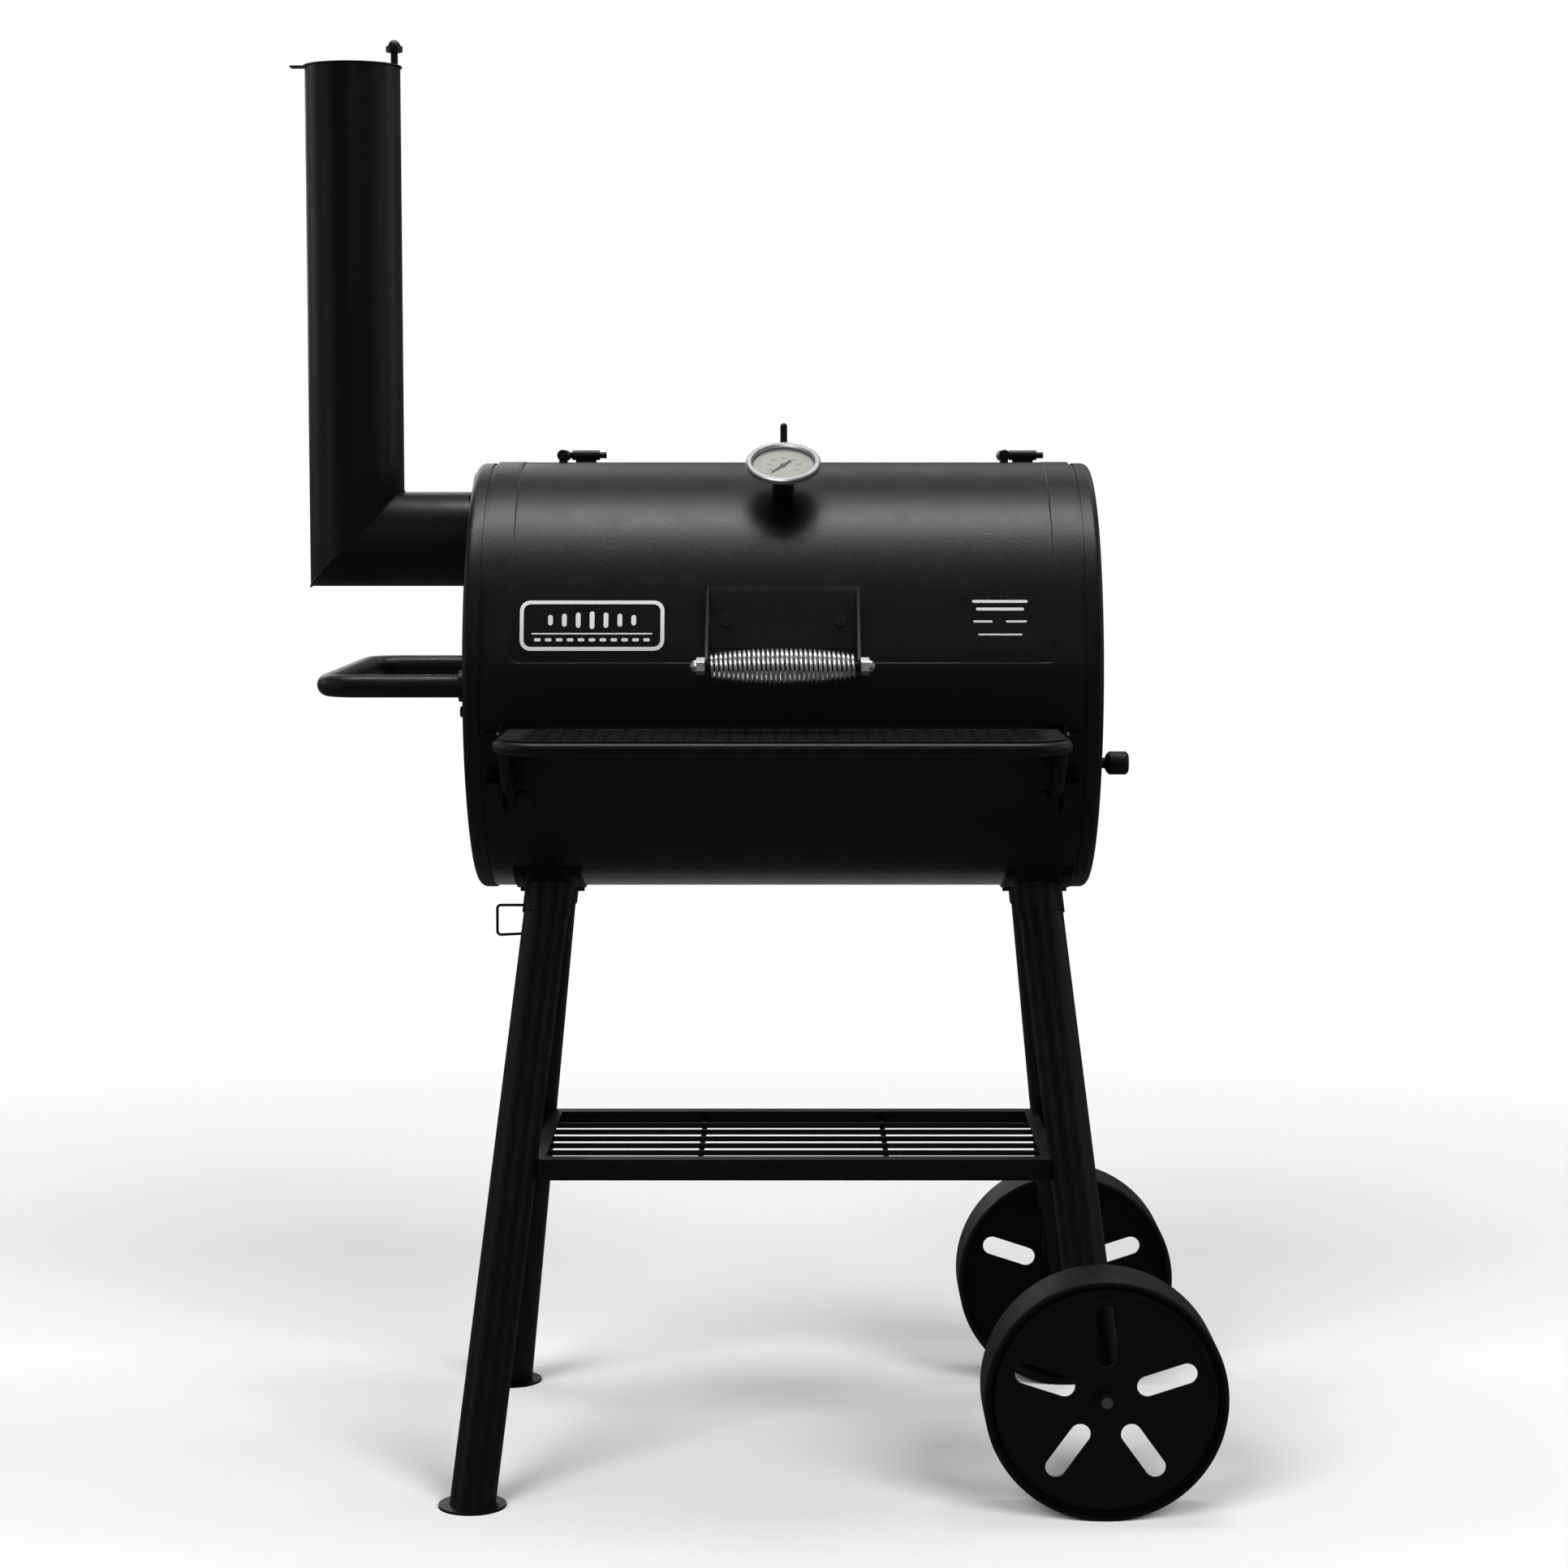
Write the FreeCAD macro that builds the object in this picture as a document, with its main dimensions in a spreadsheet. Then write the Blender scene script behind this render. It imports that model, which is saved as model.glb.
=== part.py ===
import FreeCAD, Part
import math
import os

import Sketcher
from FreeCAD import Placement, Rotation, Vector

# Barrel smoker on a two-wheel cart, with a side chimney. Millimetres, +Z up. It is modelled about the
# middle of the stand (X along the barrel, the front towards -Y, Z from the floor) and then moved so
# that the origin is on the floor under the middle of the whole object.

DIMENSIONS = [
    # barrel and end caps
    ("barrel_length", 672, "outer face to outer face of the end caps"),
    ("cap_radius", 235, "outside of the end caps"),
    ("barrel_height", 868.5, "barrel axis above the floor"),
    ("barrel_offset", 11, "barrel middle to the left of the stand middle"),
    ("sheet_wall", 2, "rolled sheet of shell and lid"),
    ("cap_wall", 1.5, "pressed sheet of the caps"),
    ("cap_skirt", 18, "width of the cap skirt over the shell"),
    ("cap_edge", 8.5, "rounding of the cap's outer edge"),
    ("seat_gap", 0.3, "clearance between pieces that slip together"),
    # lid
    ("lid_length", 625.5, "lid along the barrel"),
    ("lid_gap", 1.3, "air between shell and lid"),
    ("lid_lap", 14, "lid over the edge of the opening"),
    ("lid_front_angle", -0.5, "front edge, degrees above the barrel axis"),
    ("lid_rear_angle", 100, "rear edge, degrees over the top"),
    ("panel_inset", 27, "plain band round the pressed panel"),
    ("panel_depth", 1.3, "depth of the pressed panel"),
    ("panel_corner", 9, "corner rounding of lid and panel"),
    # lid hinges
    ("hinge_span", 491, "between the two hinge arms"),
    ("hinge_behind", 62, "hinge axis behind the barrel axis"),
    ("hinge_rise", 244.3, "hinge axis above the barrel axis"),
    ("arm_radius", 6.2, "hinge arm"),
    ("pin_radius", 3.5, "hinge pin"),
    ("pin_gap", 0.08, "running clearance of pins and axles"),
    ("tube_radius", 5.5, "hinge tube, outside"),
    ("tube_length", 31, "hinge tube"),
    ("stop_height", 280.5, "top of the lid stop above the barrel axis"),
    ("stop_radius", 4, "lid stop rod"),
    # lid handle
    ("handle_width", 160, "over the two ears"),
    ("handle_reach", 285, "handle rod in front of the barrel axis"),
    ("handle_rise", 25.3, "handle rod above the barrel axis"),
    ("handle_bottom", 10, "lower edge of the bracket, degrees above the barrel axis"),
    ("handle_top", 27.6, "upper edge of the bracket, degrees above the barrel axis"),
    ("handle_plate", 3, "plate of the bracket"),
    ("ear_radius", 11.5, "eye of the bracket ear"),
    ("grip_radius", 18.8, "spring grip at its middle"),
    ("grip_end_radius", 12, "spring grip at its ends"),
    ("rod_radius", 5, "handle rod"),
    # thermometer
    ("dial_angle", 59, "thermometer axis, degrees above the barrel axis"),
    ("bezel_radius", 40, "bezel"),
    ("bezel_lip", 7, "face of the bezel"),
    ("bezel_depth", 11, "bezel front to back"),
    ("dial_recess", 6.6, "dial below the bezel face"),
    ("dial_stand", 40, "bezel face above the lid"),
    ("neck_radius", 12, "neck bush"),
    ("neck_height", 15, "neck bush"),
    ("gauge_nut", 16, "hex nut across flats"),
    ("probe_radius", 3, "probe stem"),
    ("probe_length", 60, "probe stem below the lid"),
    # chimney
    ("pipe_radius", 52.2, "duct and stack, outside"),
    ("pipe_wall", 1.5, "duct and stack"),
    ("duct_rise", 151.4, "duct axis above the barrel axis"),
    ("stack_reach", 136.5, "stack axis out from the left cap"),
    ("stack_rise", 514.8, "stack top above the duct axis"),
    ("flange_radius", 73, "duct flange"),
    ("flange_plate", 4, "duct flange"),
    ("damper_lap", 1.8, "chimney damper disc over the outside of the stack"),
    ("damper_plate", 1.8, "chimney damper disc"),
    ("damper_inset", 6.2, "pivot inside the outside of the stack"),
    ("damper_shank", 4, "pivot bolt"),
    ("damper_stand", 17, "pivot bolt above the stack"),
    # side handle
    ("bar_radius", 12, "side handle tube"),
    ("bar_wall", 2, "side handle tube"),
    ("bar_reach", 147, "tube centre line out from the left cap"),
    ("bar_half_span", 205, "handle leg to the barrel axis"),
    ("bar_bend", 34, "bend of the centre line"),
    ("bar_bolt_drop", 27, "handle bolts below the handle"),
    # air damper
    ("inlet_drop", 98, "damper axis below the barrel axis"),
    ("inlet_radius", 66, "damper disc"),
    ("inlet_hole", 13, "air holes"),
    ("inlet_pitch", 42, "air holes from the damper axis"),
    ("knob_radius", 13, "knob"),
    ("knob_length", 24.5, "knob"),
    ("knob_neck", 24, "knob out from the cap"),
    # front shelf
    ("shelf_front", 410, "rail centre line in front of the barrel axis"),
    ("shelf_drop", 51, "rail centre line below the barrel axis"),
    ("shelf_half_width", 286, "side arms from the barrel middle"),
    ("rail_radius", 6.5, "rail tube"),
    ("rail_bend", 45, "bend of the rail's centre line"),
    ("shelf_mesh", 2, "expanded metal"),
    ("mesh_pitch", 31, "expanded metal, long way of a diamond"),
    ("mesh_row", 17, "expanded metal, short way of a diamond"),
    ("mesh_strand", 3.2, "expanded metal, width of a strand"),
    # stand
    ("leg_radius", 24.4, "leg tube"),
    ("leg_wall", 2, "leg tube"),
    ("leg_top_x", 267.8, "leg axis from the stand middle, at its top"),
    ("leg_top_y", 56, "leg axis from the stand middle, at its top"),
    ("leg_top_drop", 218.5, "top of the leg axis below the barrel axis"),
    ("foot_x", 340.9, "leg axis from the stand middle, at the floor"),
    ("foot_y", 252, "leg axis from the stand middle, at the floor"),
    ("foot_radius", 36, "foot disc"),
    ("foot_plate", 3, "foot disc"),
    ("socket_plate", 3, "saddle of the leg socket"),
    ("socket_width", 74, "saddle along the barrel"),
    ("saddle_front", 61, "front edge of the saddle, degrees below the barrel axis"),
    ("saddle_rear", 86, "rear edge of the saddle, degrees below the barrel axis"),
    ("socket_wall", 1.8, "collar of the leg socket"),
    ("socket_length", 26, "collar below the barrel"),
    # lower rack
    ("rack_height", 352, "top of the rack bars"),
    ("bar_face", 23, "upright face of a rack bar"),
    ("bar_lip", 20, "flat lip of a rack bar"),
    ("bar_plate", 2, "rack bar sheet"),
    ("rack_rod", 3, "radius of a rack rod"),
    ("rack_pitch", 40, "between rack rods"),
    ("rack_wire_x", 102.5, "cross wires from the stand middle"),
    # wheels
    ("wheel_radius", 128, "wheel"),
    ("wheel_width", 80, "wheel"),
    ("wheel_wall", 5, "rim"),
    ("wheel_clear", 71.2, "outer face of the wheel out from the leg, at the axle"),
    ("disc_set", 9, "disc behind the outer face"),
    ("disc_plate", 4, "wheel disc"),
    ("slot_width", 22, "slot in the wheel disc"),
    ("slot_inner", 34.6, "inner end of a slot"),
    ("slot_outer", 99.7, "outer end of a slot"),
    ("hub_radius", 19, "hub"),
    ("hub_length", 54, "hub"),
    ("axle_radius", 6, "axle"),
    ("axle_nut", 19, "axle nut across flats"),
    # fasteners
    ("bolt_radius", 3, "bolts of the brackets, sockets and flanges"),
    ("bolt_flats", 10, "bolt heads and nuts across flats"),
    ("bolt_head", 4, "height of bolt heads and nuts"),
    # cooking chamber
    ("grate_drop", 8, "top of the ledges below the barrel axis"),
    ("grate_plate", 12, "cast grate"),
    ("grate_bar", 6, "bar of a cast grate"),
    ("grate_pitch", 17, "between bars"),
    ("ledge_width", 24, "grate ledge"),
    ("warming_rise", 95, "warming rack above the barrel axis"),
    ("tray_drop", 128, "bottom of the charcoal tray below the barrel axis"),
    ("tray_width", 300, "charcoal tray, front to back"),
]

doc = FreeCAD.newDocument("barrel_smoker")
sheet = doc.addObject("Spreadsheet::Sheet", "Dims")
for row, (alias, amount, note) in enumerate(DIMENSIONS, start=1):
    sheet.set(f"A{row}", alias)
    sheet.set(f"B{row}", str(amount))
    sheet.set(f"C{row}", note)
    sheet.setAlias(f"B{row}", alias)
doc.recompute()

# Sizes that several pieces share, as formulas on the sheet.
SHELL_RADIUS = "(Dims.cap_radius - Dims.cap_wall - Dims.seat_gap)"
SHELL_BORE = f"({SHELL_RADIUS} - Dims.sheet_wall)"
LID_RADIUS = f"({SHELL_RADIUS} + Dims.lid_gap + Dims.sheet_wall)"
LID_BORE = f"({SHELL_RADIUS} + Dims.lid_gap)"
PANEL_RADIUS = f"({LID_RADIUS} - Dims.panel_depth)"
PIN_BORE = "(Dims.pin_radius + Dims.pin_gap)"
AXLE_BORE = "(Dims.axle_radius + Dims.pin_gap)"
LONG = 2000  # longer than anything that it cuts

# Directions: a rod's own axis is its local Z.
ALONG = {
    "x": Rotation(Vector(0, 0, 1), Vector(1, 0, 0)),
    "y": Rotation(Vector(0, 0, 1), Vector(0, 1, 0)),
    "z": Rotation(),
}
# Sectors of the barrel are swept from the front (-Y) over the top.
ROUND_BARREL = Rotation(Vector(0, -1, 0), Vector(0, 0, 1), Vector(-1, 0, 0), "ZXY")


def value(formula):
    """The number that a formula on the sheet gives."""
    result = sheet.evalExpression(str(formula))
    return float(getattr(result, "Value", result))


dims = {alias: value(f"Dims.{alias}") for alias, _, _ in DIMENSIONS}
middle_x = -dims["barrel_offset"]
axis_z = dims["barrel_height"]
cap_left_x = middle_x - dims["barrel_length"] / 2
cap_right_x = middle_x + dims["barrel_length"] / 2
shell_radius = value(SHELL_RADIUS)
lid_radius = value(LID_RADIUS)
pieces = []


def new(kind, name, **sizes):
    """A document object whose sizes are bound to formulas on the sheet."""
    thing = doc.addObject(kind, name)
    for size, formula in sizes.items():
        thing.setExpression(size, str(formula))
    return thing


def rod(name, radius, length, start, axis="z"):
    """A round bar from a start point, along an axis letter or a direction."""
    bar = new("Part::Cylinder", name, Radius=radius, Height=length)
    turn = ALONG[axis] if isinstance(axis, str) else Rotation(Vector(0, 0, 1), axis)
    bar.Placement = Placement(Vector(*start), turn)
    return bar


def block(name, width, depth, height, corner, turn=Rotation()):
    """A box from its lowest corner."""
    box = new("Part::Box", name, Length=width, Width=depth, Height=height)
    box.Placement = Placement(Vector(*corner), turn)
    return box


def cut(name, base, *tools):
    """The base less every tool."""
    result = doc.addObject("Part::Cut", name)
    result.Base = base
    result.Tool = tools[0] if len(tools) == 1 else join(f"{name}_tools", *tools)
    return result


def join(name, *solids):
    """Solids that touch or overlap, as one."""
    result = doc.addObject("Part::MultiFuse", name)
    result.Shapes = list(solids)
    return result


def group(name, *solids):
    """Separate solids kept together, such as a set of fasteners."""
    result = doc.addObject("Part::Compound", name)
    result.Links = list(solids)
    return result


def common(name, first, second):
    """What two solids share."""
    result = doc.addObject("Part::Common", name)
    result.Base = first
    result.Tool = second
    return result


def rounded(name, base, radius, wanted):
    """The base with the wanted edges rounded."""
    doc.recompute()
    result = doc.addObject("Part::Fillet", name)
    result.Base = base
    chosen = [n for n, edge in enumerate(base.Shape.Edges, start=1) if wanted(edge)]
    result.Edges = [(n, radius, radius) for n in chosen]
    return result


def pipe(name, outer, wall, length, start, axis="z"):
    """A round tube from a start point."""
    return cut(
        name,
        rod(f"{name}_outside", outer, length, start, axis),
        rod(f"{name}_bore", f"{outer} - ({wall})", length, start, axis),
    )


def piece(label, thing):
    """Name a finished sub-part, which is also the name of its file."""
    thing.Label = label
    pieces.append(thing)
    return thing


def sketch_on(body, role, name):
    """A sketch on one of the body's own origin planes."""
    sketch = body.newObject("Sketcher::SketchObject", name)
    plane = next(feature for feature in body.Origin.OriginFeatures if feature.Role == role)
    sketch.AttachmentSupport = (plane, "")
    sketch.MapMode = "FlatFace"
    return sketch


def outline(sketch, corners):
    """A closed outline whose corners are bound to pairs of formulas."""
    first = sketch.GeometryCount
    places = [Vector(value(across), value(up), 0) for across, up in corners]
    for here, there in zip(places, places[1:] + places[:1]):
        sketch.addGeometry(Part.LineSegment(here, there))
    for step, (across, up) in enumerate(corners):
        line = first + step
        follower = first + (step + 1) % len(corners)
        sketch.addConstraint(Sketcher.Constraint("Coincident", line, 2, follower, 1))
        for way, formula in (("X", across), ("Y", up)):
            label = f"corner{line}{way}"
            number = sketch.addConstraint(
                Sketcher.Constraint(f"Distance{way}", -1, 1, line, 1, value(formula))
            )
            sketch.renameConstraint(number, label)
            sketch.setExpression(f"Constraints.{label}", str(formula))


def turned(name, corners, place=Placement()):
    """A body turned about its local Z from an outline of (radius, height) formulas."""
    body = doc.addObject("PartDesign::Body", name)
    sketch = sketch_on(body, "XZ_Plane", f"{name}_profile")
    outline(sketch, corners)
    turning = body.newObject("PartDesign::Revolution", f"{name}_turned")
    turning.Profile = sketch
    turning.ReferenceAxis = (sketch, ["V_Axis"])
    turning.Angle = 360
    body.Placement = place
    return body


def padded(name, corners, height, place=Placement()):
    """A body padded up its local Z from an outline of (x, y) formulas."""
    body = doc.addObject("PartDesign::Body", name)
    sketch = sketch_on(body, "XY_Plane", f"{name}_profile")
    outline(sketch, corners)
    pad = body.newObject("PartDesign::Pad", f"{name}_pad")
    pad.Profile = sketch
    pad.setExpression("Length", str(height))
    body.Placement = place
    return body


def bent(name, radius, points, bend):
    """A round bar swept along straight runs joined by tangent arcs of one bend radius."""
    edges = []
    start = Vector(*points[0])
    for before, corner, after in zip(points, points[1:], points[2:]):
        corner = Vector(*corner)
        inward = (Vector(*before) - corner).normalize()
        outward = (Vector(*after) - corner).normalize()
        half = inward.getAngle(outward) / 2
        set_back = bend / math.tan(half)
        centre = corner + (inward + outward).normalize() * (bend / math.sin(half))
        mid = centre + (corner - centre).normalize() * bend
        enter = corner + inward * set_back
        leave = corner + outward * set_back
        edges.append(Part.LineSegment(start, enter).toShape())
        edges.append(Part.Arc(enter, mid, leave).toShape())
        start = leave
    edges.append(Part.LineSegment(start, Vector(*points[-1])).toShape())
    path = doc.addObject("Part::Feature", f"{name}_path")
    path.Shape = Part.Wire(edges)
    section = new("Part::Circle", f"{name}_section", Radius=radius)
    heading = Vector(*points[1]) - Vector(*points[0])
    section.Placement = Placement(Vector(*points[0]), Rotation(Vector(0, 0, 1), heading))
    sweep = doc.addObject("Part::Sweep", name)
    sweep.Sections = [section]
    sweep.Spine = (path, [f"Edge{n}" for n in range(1, len(edges) + 1)])
    sweep.Solid = True
    sweep.Frenet = True
    return sweep


def hex_nut(name, flats, height, start, axis="z"):
    """A plain hexagon nut or bolt head."""
    nut = new("Part::Prism", name, Circumradius=f"({flats}) / 2 / cos(30)", Height=height)
    nut.Polygon = 6
    turn = ALONG[axis] if isinstance(axis, str) else Rotation(Vector(0, 0, 1), axis)
    nut.Placement = Placement(Vector(*start), turn)
    return nut


def acorn_nut(name, flats, height, start, axis):
    """A hexagon nut with a domed end."""
    hexagon = hex_nut(f"{name}_hex", flats, height, start, axis)
    direction = hexagon.Placement.Rotation.multVec(Vector(0, 0, 1))
    dome = new("Part::Sphere", f"{name}_dome", Radius=f"({flats}) * 0.42", Angle1="0")
    crown = Vector(*start) + direction * value(height)
    dome.Placement = Placement(crown, hexagon.Placement.Rotation)
    return join(name, hexagon, dome)


def on_barrel(angle, radius, x=0.0):
    """A point at an angle above the front of the barrel, at a radius from its axis."""
    turn = math.radians(angle)
    return Vector(x, -radius * math.cos(turn), axis_z + radius * math.sin(turn))


def outward_from_barrel(angle):
    """The direction away from the barrel's axis at an angle above its front."""
    return on_barrel(angle, 1) - Vector(0, 0, axis_z)


def sector(name, outer, inner, length, start_angle, sweep, right_x):
    """A rolled sheet: part of a tube round the barrel's axis, from its right end."""
    turn = ROUND_BARREL * Rotation(Vector(0, 0, 1), start_angle)
    blank = new("Part::Cylinder", f"{name}_blank", Radius=outer, Height=length, Angle=sweep)
    blank.Placement = Placement(Vector(right_x, 0, axis_z), turn)
    core = new("Part::Cylinder", f"{name}_core", Radius=inner, Height=length)
    core.Placement = Placement(Vector(right_x, 0, axis_z), turn)
    return cut(name, blank, core)


def through_sheet(edge):
    """True for the short edges that run through a rolled sheet."""
    return edge.Length < 12 and edge.Curve.TypeId == "Part::GeomLine"


# ---- Bolts ----------------------------------------------------------------------------------------
duct_z = axis_z + dims["duct_rise"]


def bolt(name, seat, heading, grip):
    """A hexagon bolt: its head stands on the seat, its nut is a grip's length behind."""
    heading = Vector(*heading)
    seat = Vector(*seat)
    head = hex_nut(f"{name}_head", "Dims.bolt_flats", "Dims.bolt_head", seat, heading)
    nut_start = seat - heading * (grip + dims["bolt_head"])
    nut = hex_nut(f"{name}_nut", "Dims.bolt_flats", "Dims.bolt_head", nut_start, heading)
    length = grip + 2 * dims["bolt_head"]
    return join(name, head, nut, rod(f"{name}_shank", "Dims.bolt_radius", length, nut_start, heading))


def bracket_screw_places():
    """Angle and X of the two screws in each shelf bracket."""
    inner = dims["shelf_half_width"] - 10
    return [(angle, middle_x + side * inner) for side in (-1, 1) for angle in (-29.4, -16)]


def saddle_bolt_places():
    """Angle and X of the four bolts in each leg socket."""
    reach = dims["socket_width"] / 2 - 7
    low = -dims["saddle_rear"] + 2.2
    high = -dims["saddle_front"] - 2.8
    places = []
    for angle in (low, high, -180 - low, -180 - high):
        for side in (-1, 1):
            for way in (-1, 1):
                places.append((angle, side * dims["leg_top_x"] + way * reach))
    return places


def flange_bolt_places():
    """Y and Z of the four bolts in the chimney flange."""
    ring = (dims["pipe_radius"] + dims["flange_radius"]) / 2
    turns = [math.radians(45 + 90 * step) for step in range(4)]
    return [(ring * math.cos(turn), duct_z + ring * math.sin(turn)) for turn in turns]


def left_cap_bolt_places():
    """Y, Z and plate thickness of every bolt through the left cap."""
    flange = [(y, z, dims["flange_plate"]) for y, z in flange_bolt_places()]
    handle = [(side * dims["bar_half_span"], axis_z - dims["bar_bolt_drop"], 0) for side in (-1, 1)]
    return flange + handle


def left_cap_bolts():
    """The chimney flange's bolts and the side handle's bolts."""
    bolts = []
    for n, (y, z, plate) in enumerate(left_cap_bolt_places()):
        grip = plate + dims["cap_wall"]
        bolts.append(bolt(f"cap_bolt_{n}", (cap_left_x - plate, y, z), (-1, 0, 0), grip))
    piece("left_cap_bolts", group("cap_bolts", *bolts))


# ---- Barrel ---------------------------------------------------------------------------------------
LAP_ANGLE = f"(Dims.lid_lap / {LID_RADIUS} * 180 / pi)"
LID_SWEEP = "(Dims.lid_rear_angle - Dims.lid_front_angle)"
lid_right_x = middle_x + dims["lid_length"] / 2


def barrel_core(name, radius):
    """A round solid on the barrel's axis, longer than the barrel."""
    return rod(name, radius, LONG, (middle_x - LONG / 2, 0, axis_z), "x")


def barrel_shell():
    """Rolled tube with the opening that the lid covers."""
    length = "(Dims.barrel_length - 2 * (Dims.cap_edge + Dims.seat_gap))"
    start = (middle_x - value(length) / 2, 0, axis_z)
    tube = pipe("shell_tube", SHELL_RADIUS, "Dims.sheet_wall", length, start, "x")
    opening = new(
        "Part::Cylinder",
        "lid_opening",
        Radius=f"{LID_RADIUS} + Dims.lid_gap",
        Height="Dims.lid_length - 2 * Dims.lid_lap",
        Angle=f"{LID_SWEEP} - 2 * {LAP_ANGLE}",
    )
    start_angle = dims["lid_front_angle"] + value(LAP_ANGLE)
    opening.Placement = Placement(
        Vector(lid_right_x - dims["lid_lap"], 0, axis_z),
        ROUND_BARREL * Rotation(Vector(0, 0, 1), start_angle),
    )
    bolts = [
        rod(f"shell_hole_{n}", "Dims.bolt_radius", "12 * Dims.sheet_wall",
            on_barrel(angle, shell_radius - 6 * dims["sheet_wall"], x), outward_from_barrel(angle))
        for n, (angle, x) in enumerate(bracket_screw_places() + saddle_bolt_places())
    ]
    piece("barrel_shell", cut("shell_open", tube, opening, *bolts))


def end_cap(label, side, holes):
    """Pressed disc with a rounded edge and a skirt; its outer face is local z = 0."""
    outside = rod(f"{label}_outside", "Dims.cap_radius", "Dims.cap_skirt", (0, 0, 0))
    inside_start = (0, 0, dims["cap_wall"])
    inside = rod(
        f"{label}_inside", "Dims.cap_radius - Dims.cap_wall", "Dims.cap_skirt", inside_start
    )
    edge = dims["cap_edge"]
    wall = dims["cap_wall"]
    blank = rounded(
        f"{label}_edge", outside, edge, lambda e: abs(e.BoundBox.ZMax) < 0.01
    )
    hollow = rounded(
        f"{label}_hollow", inside, edge - wall, lambda e: abs(e.BoundBox.ZMax - wall) < 0.01
    )
    cap = cut(f"{label}_pressed", blank, hollow, *holes)
    turn = Rotation(Vector(0, -side, 0), Vector(0, 0, 1), Vector(-side, 0, 0), "ZYX")
    cap.Placement = Placement(Vector(middle_x + side * dims["barrel_length"] / 2, 0, axis_z), turn)
    piece(label, cap)


def end_caps():
    """The left cap has the flue hole, the right one the air holes and the damper's pivot hole."""
    flue = rod(
        "flue_hole", "Dims.pipe_radius - Dims.pipe_wall", "2 * Dims.cap_skirt",
        (0, dims["duct_rise"], -dims["cap_skirt"]),
    )
    screws = [
        rod(f"left_cap_hole_{n}", "Dims.bolt_radius", "2 * Dims.cap_skirt",
            (y, z - axis_z, -dims["cap_skirt"]))
        for n, (y, z, _) in enumerate(left_cap_bolt_places())
    ]
    end_cap("end_cap_left", -1, [flue] + screws)
    drop = -dims["inlet_drop"]
    below = -dims["cap_skirt"]
    pivot = rod(
        "inlet_pivot_hole", "Dims.pin_radius + Dims.seat_gap", "2 * Dims.cap_skirt", (0, drop, below)
    )
    end_cap("end_cap_right", 1, [pivot] + air_holes("cap_air", 0, drop, below))


def air_holes(name, x, y, z):
    """Four round air holes about a local point."""
    holes = []
    for step in range(4):
        turn = math.radians(90 * step + 45)
        spot = (
            x + dims["inlet_pitch"] * math.cos(turn),
            y + dims["inlet_pitch"] * math.sin(turn),
            z,
        )
        holes.append(rod(f"{name}_{step}", "Dims.inlet_hole", "2 * Dims.cap_skirt", spot))
    return holes


# ---- Lid ------------------------------------------------------------------------------------------
def lid_shell():
    """Rolled sheet with rounded corners and a pressed-in panel inside a plain band."""
    front = dims["lid_front_angle"]
    corner = dims["panel_corner"]
    blank = rounded(
        "lid_blank",
        sector("lid_sheet", LID_RADIUS, LID_BORE, "Dims.lid_length", front, LID_SWEEP, lid_right_x),
        corner,
        through_sheet,
    )
    inset_angle = f"(Dims.panel_inset / {LID_RADIUS} * 180 / pi)"
    panel_front = front + value(inset_angle)
    panel_sweep = f"{LID_SWEEP} - 2 * {inset_angle}"
    panel_length = "Dims.lid_length - 2 * Dims.panel_inset"
    panel_right = lid_right_x - dims["panel_inset"]
    recess = rounded(
        "panel_recess",
        sector(
            "recess", f"{LID_RADIUS} + Dims.sheet_wall", PANEL_RADIUS, panel_length,
            panel_front, panel_sweep, panel_right,
        ),
        corner,
        through_sheet,
    )
    backing = rounded(
        "panel_backing",
        sector(
            "backing", PANEL_RADIUS, f"{PANEL_RADIUS} - Dims.sheet_wall", panel_length,
            panel_front, panel_sweep, panel_right,
        ),
        corner,
        through_sheet,
    )
    angle = dims["dial_angle"]
    gauge_hole = rod(
        "gauge_hole", "Dims.probe_radius + Dims.seat_gap", "4 * Dims.neck_radius",
        on_barrel(angle, lid_radius - 2 * dims["neck_radius"], middle_x), outward_from_barrel(angle),
    )
    screw_holes = [
        rod(f"lid_screw_hole_{n}", "Dims.pin_radius", "8 * Dims.sheet_wall", start, heading)
        for n, (start, heading) in enumerate(handle_screw_lines())
    ]
    whole = join("lid_whole", cut("lid_pressed", blank, recess), backing)
    piece("lid_shell", cut("lid_bored", whole, gauge_hole, *screw_holes))


def plate_on_panel(label, left, right, lower, upper):
    """A thin plate lying on the pressed panel, between two sides and two angles."""
    thin = "0.8"
    plate = rounded(
        f"{label}_plate",
        sector(
            f"{label}_sheet", f"{PANEL_RADIUS} + {thin}", PANEL_RADIUS,
            right - left, lower, upper - lower, middle_x + right,
        ),
        4,
        through_sheet,
    )
    piece(label, plate)


def lid_plates():
    """The name badge's place and the information plate, both blank."""
    plate_on_panel("badge_plate", -277, -122, 9, 23)
    plate_on_panel("info_plate", 186, 268, 9, 25)


def handle_screw_lines():
    """Where the two bracket screws start, under the sheet, and their direction."""
    angle = (dims["handle_bottom"] + dims["handle_top"]) / 2 - 2
    for side in (-1, 1):
        x = middle_x + side * (dims["handle_width"] / 2 - 20)
        yield on_barrel(angle, lid_radius - 4 * dims["sheet_wall"], x), outward_from_barrel(angle)


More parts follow.
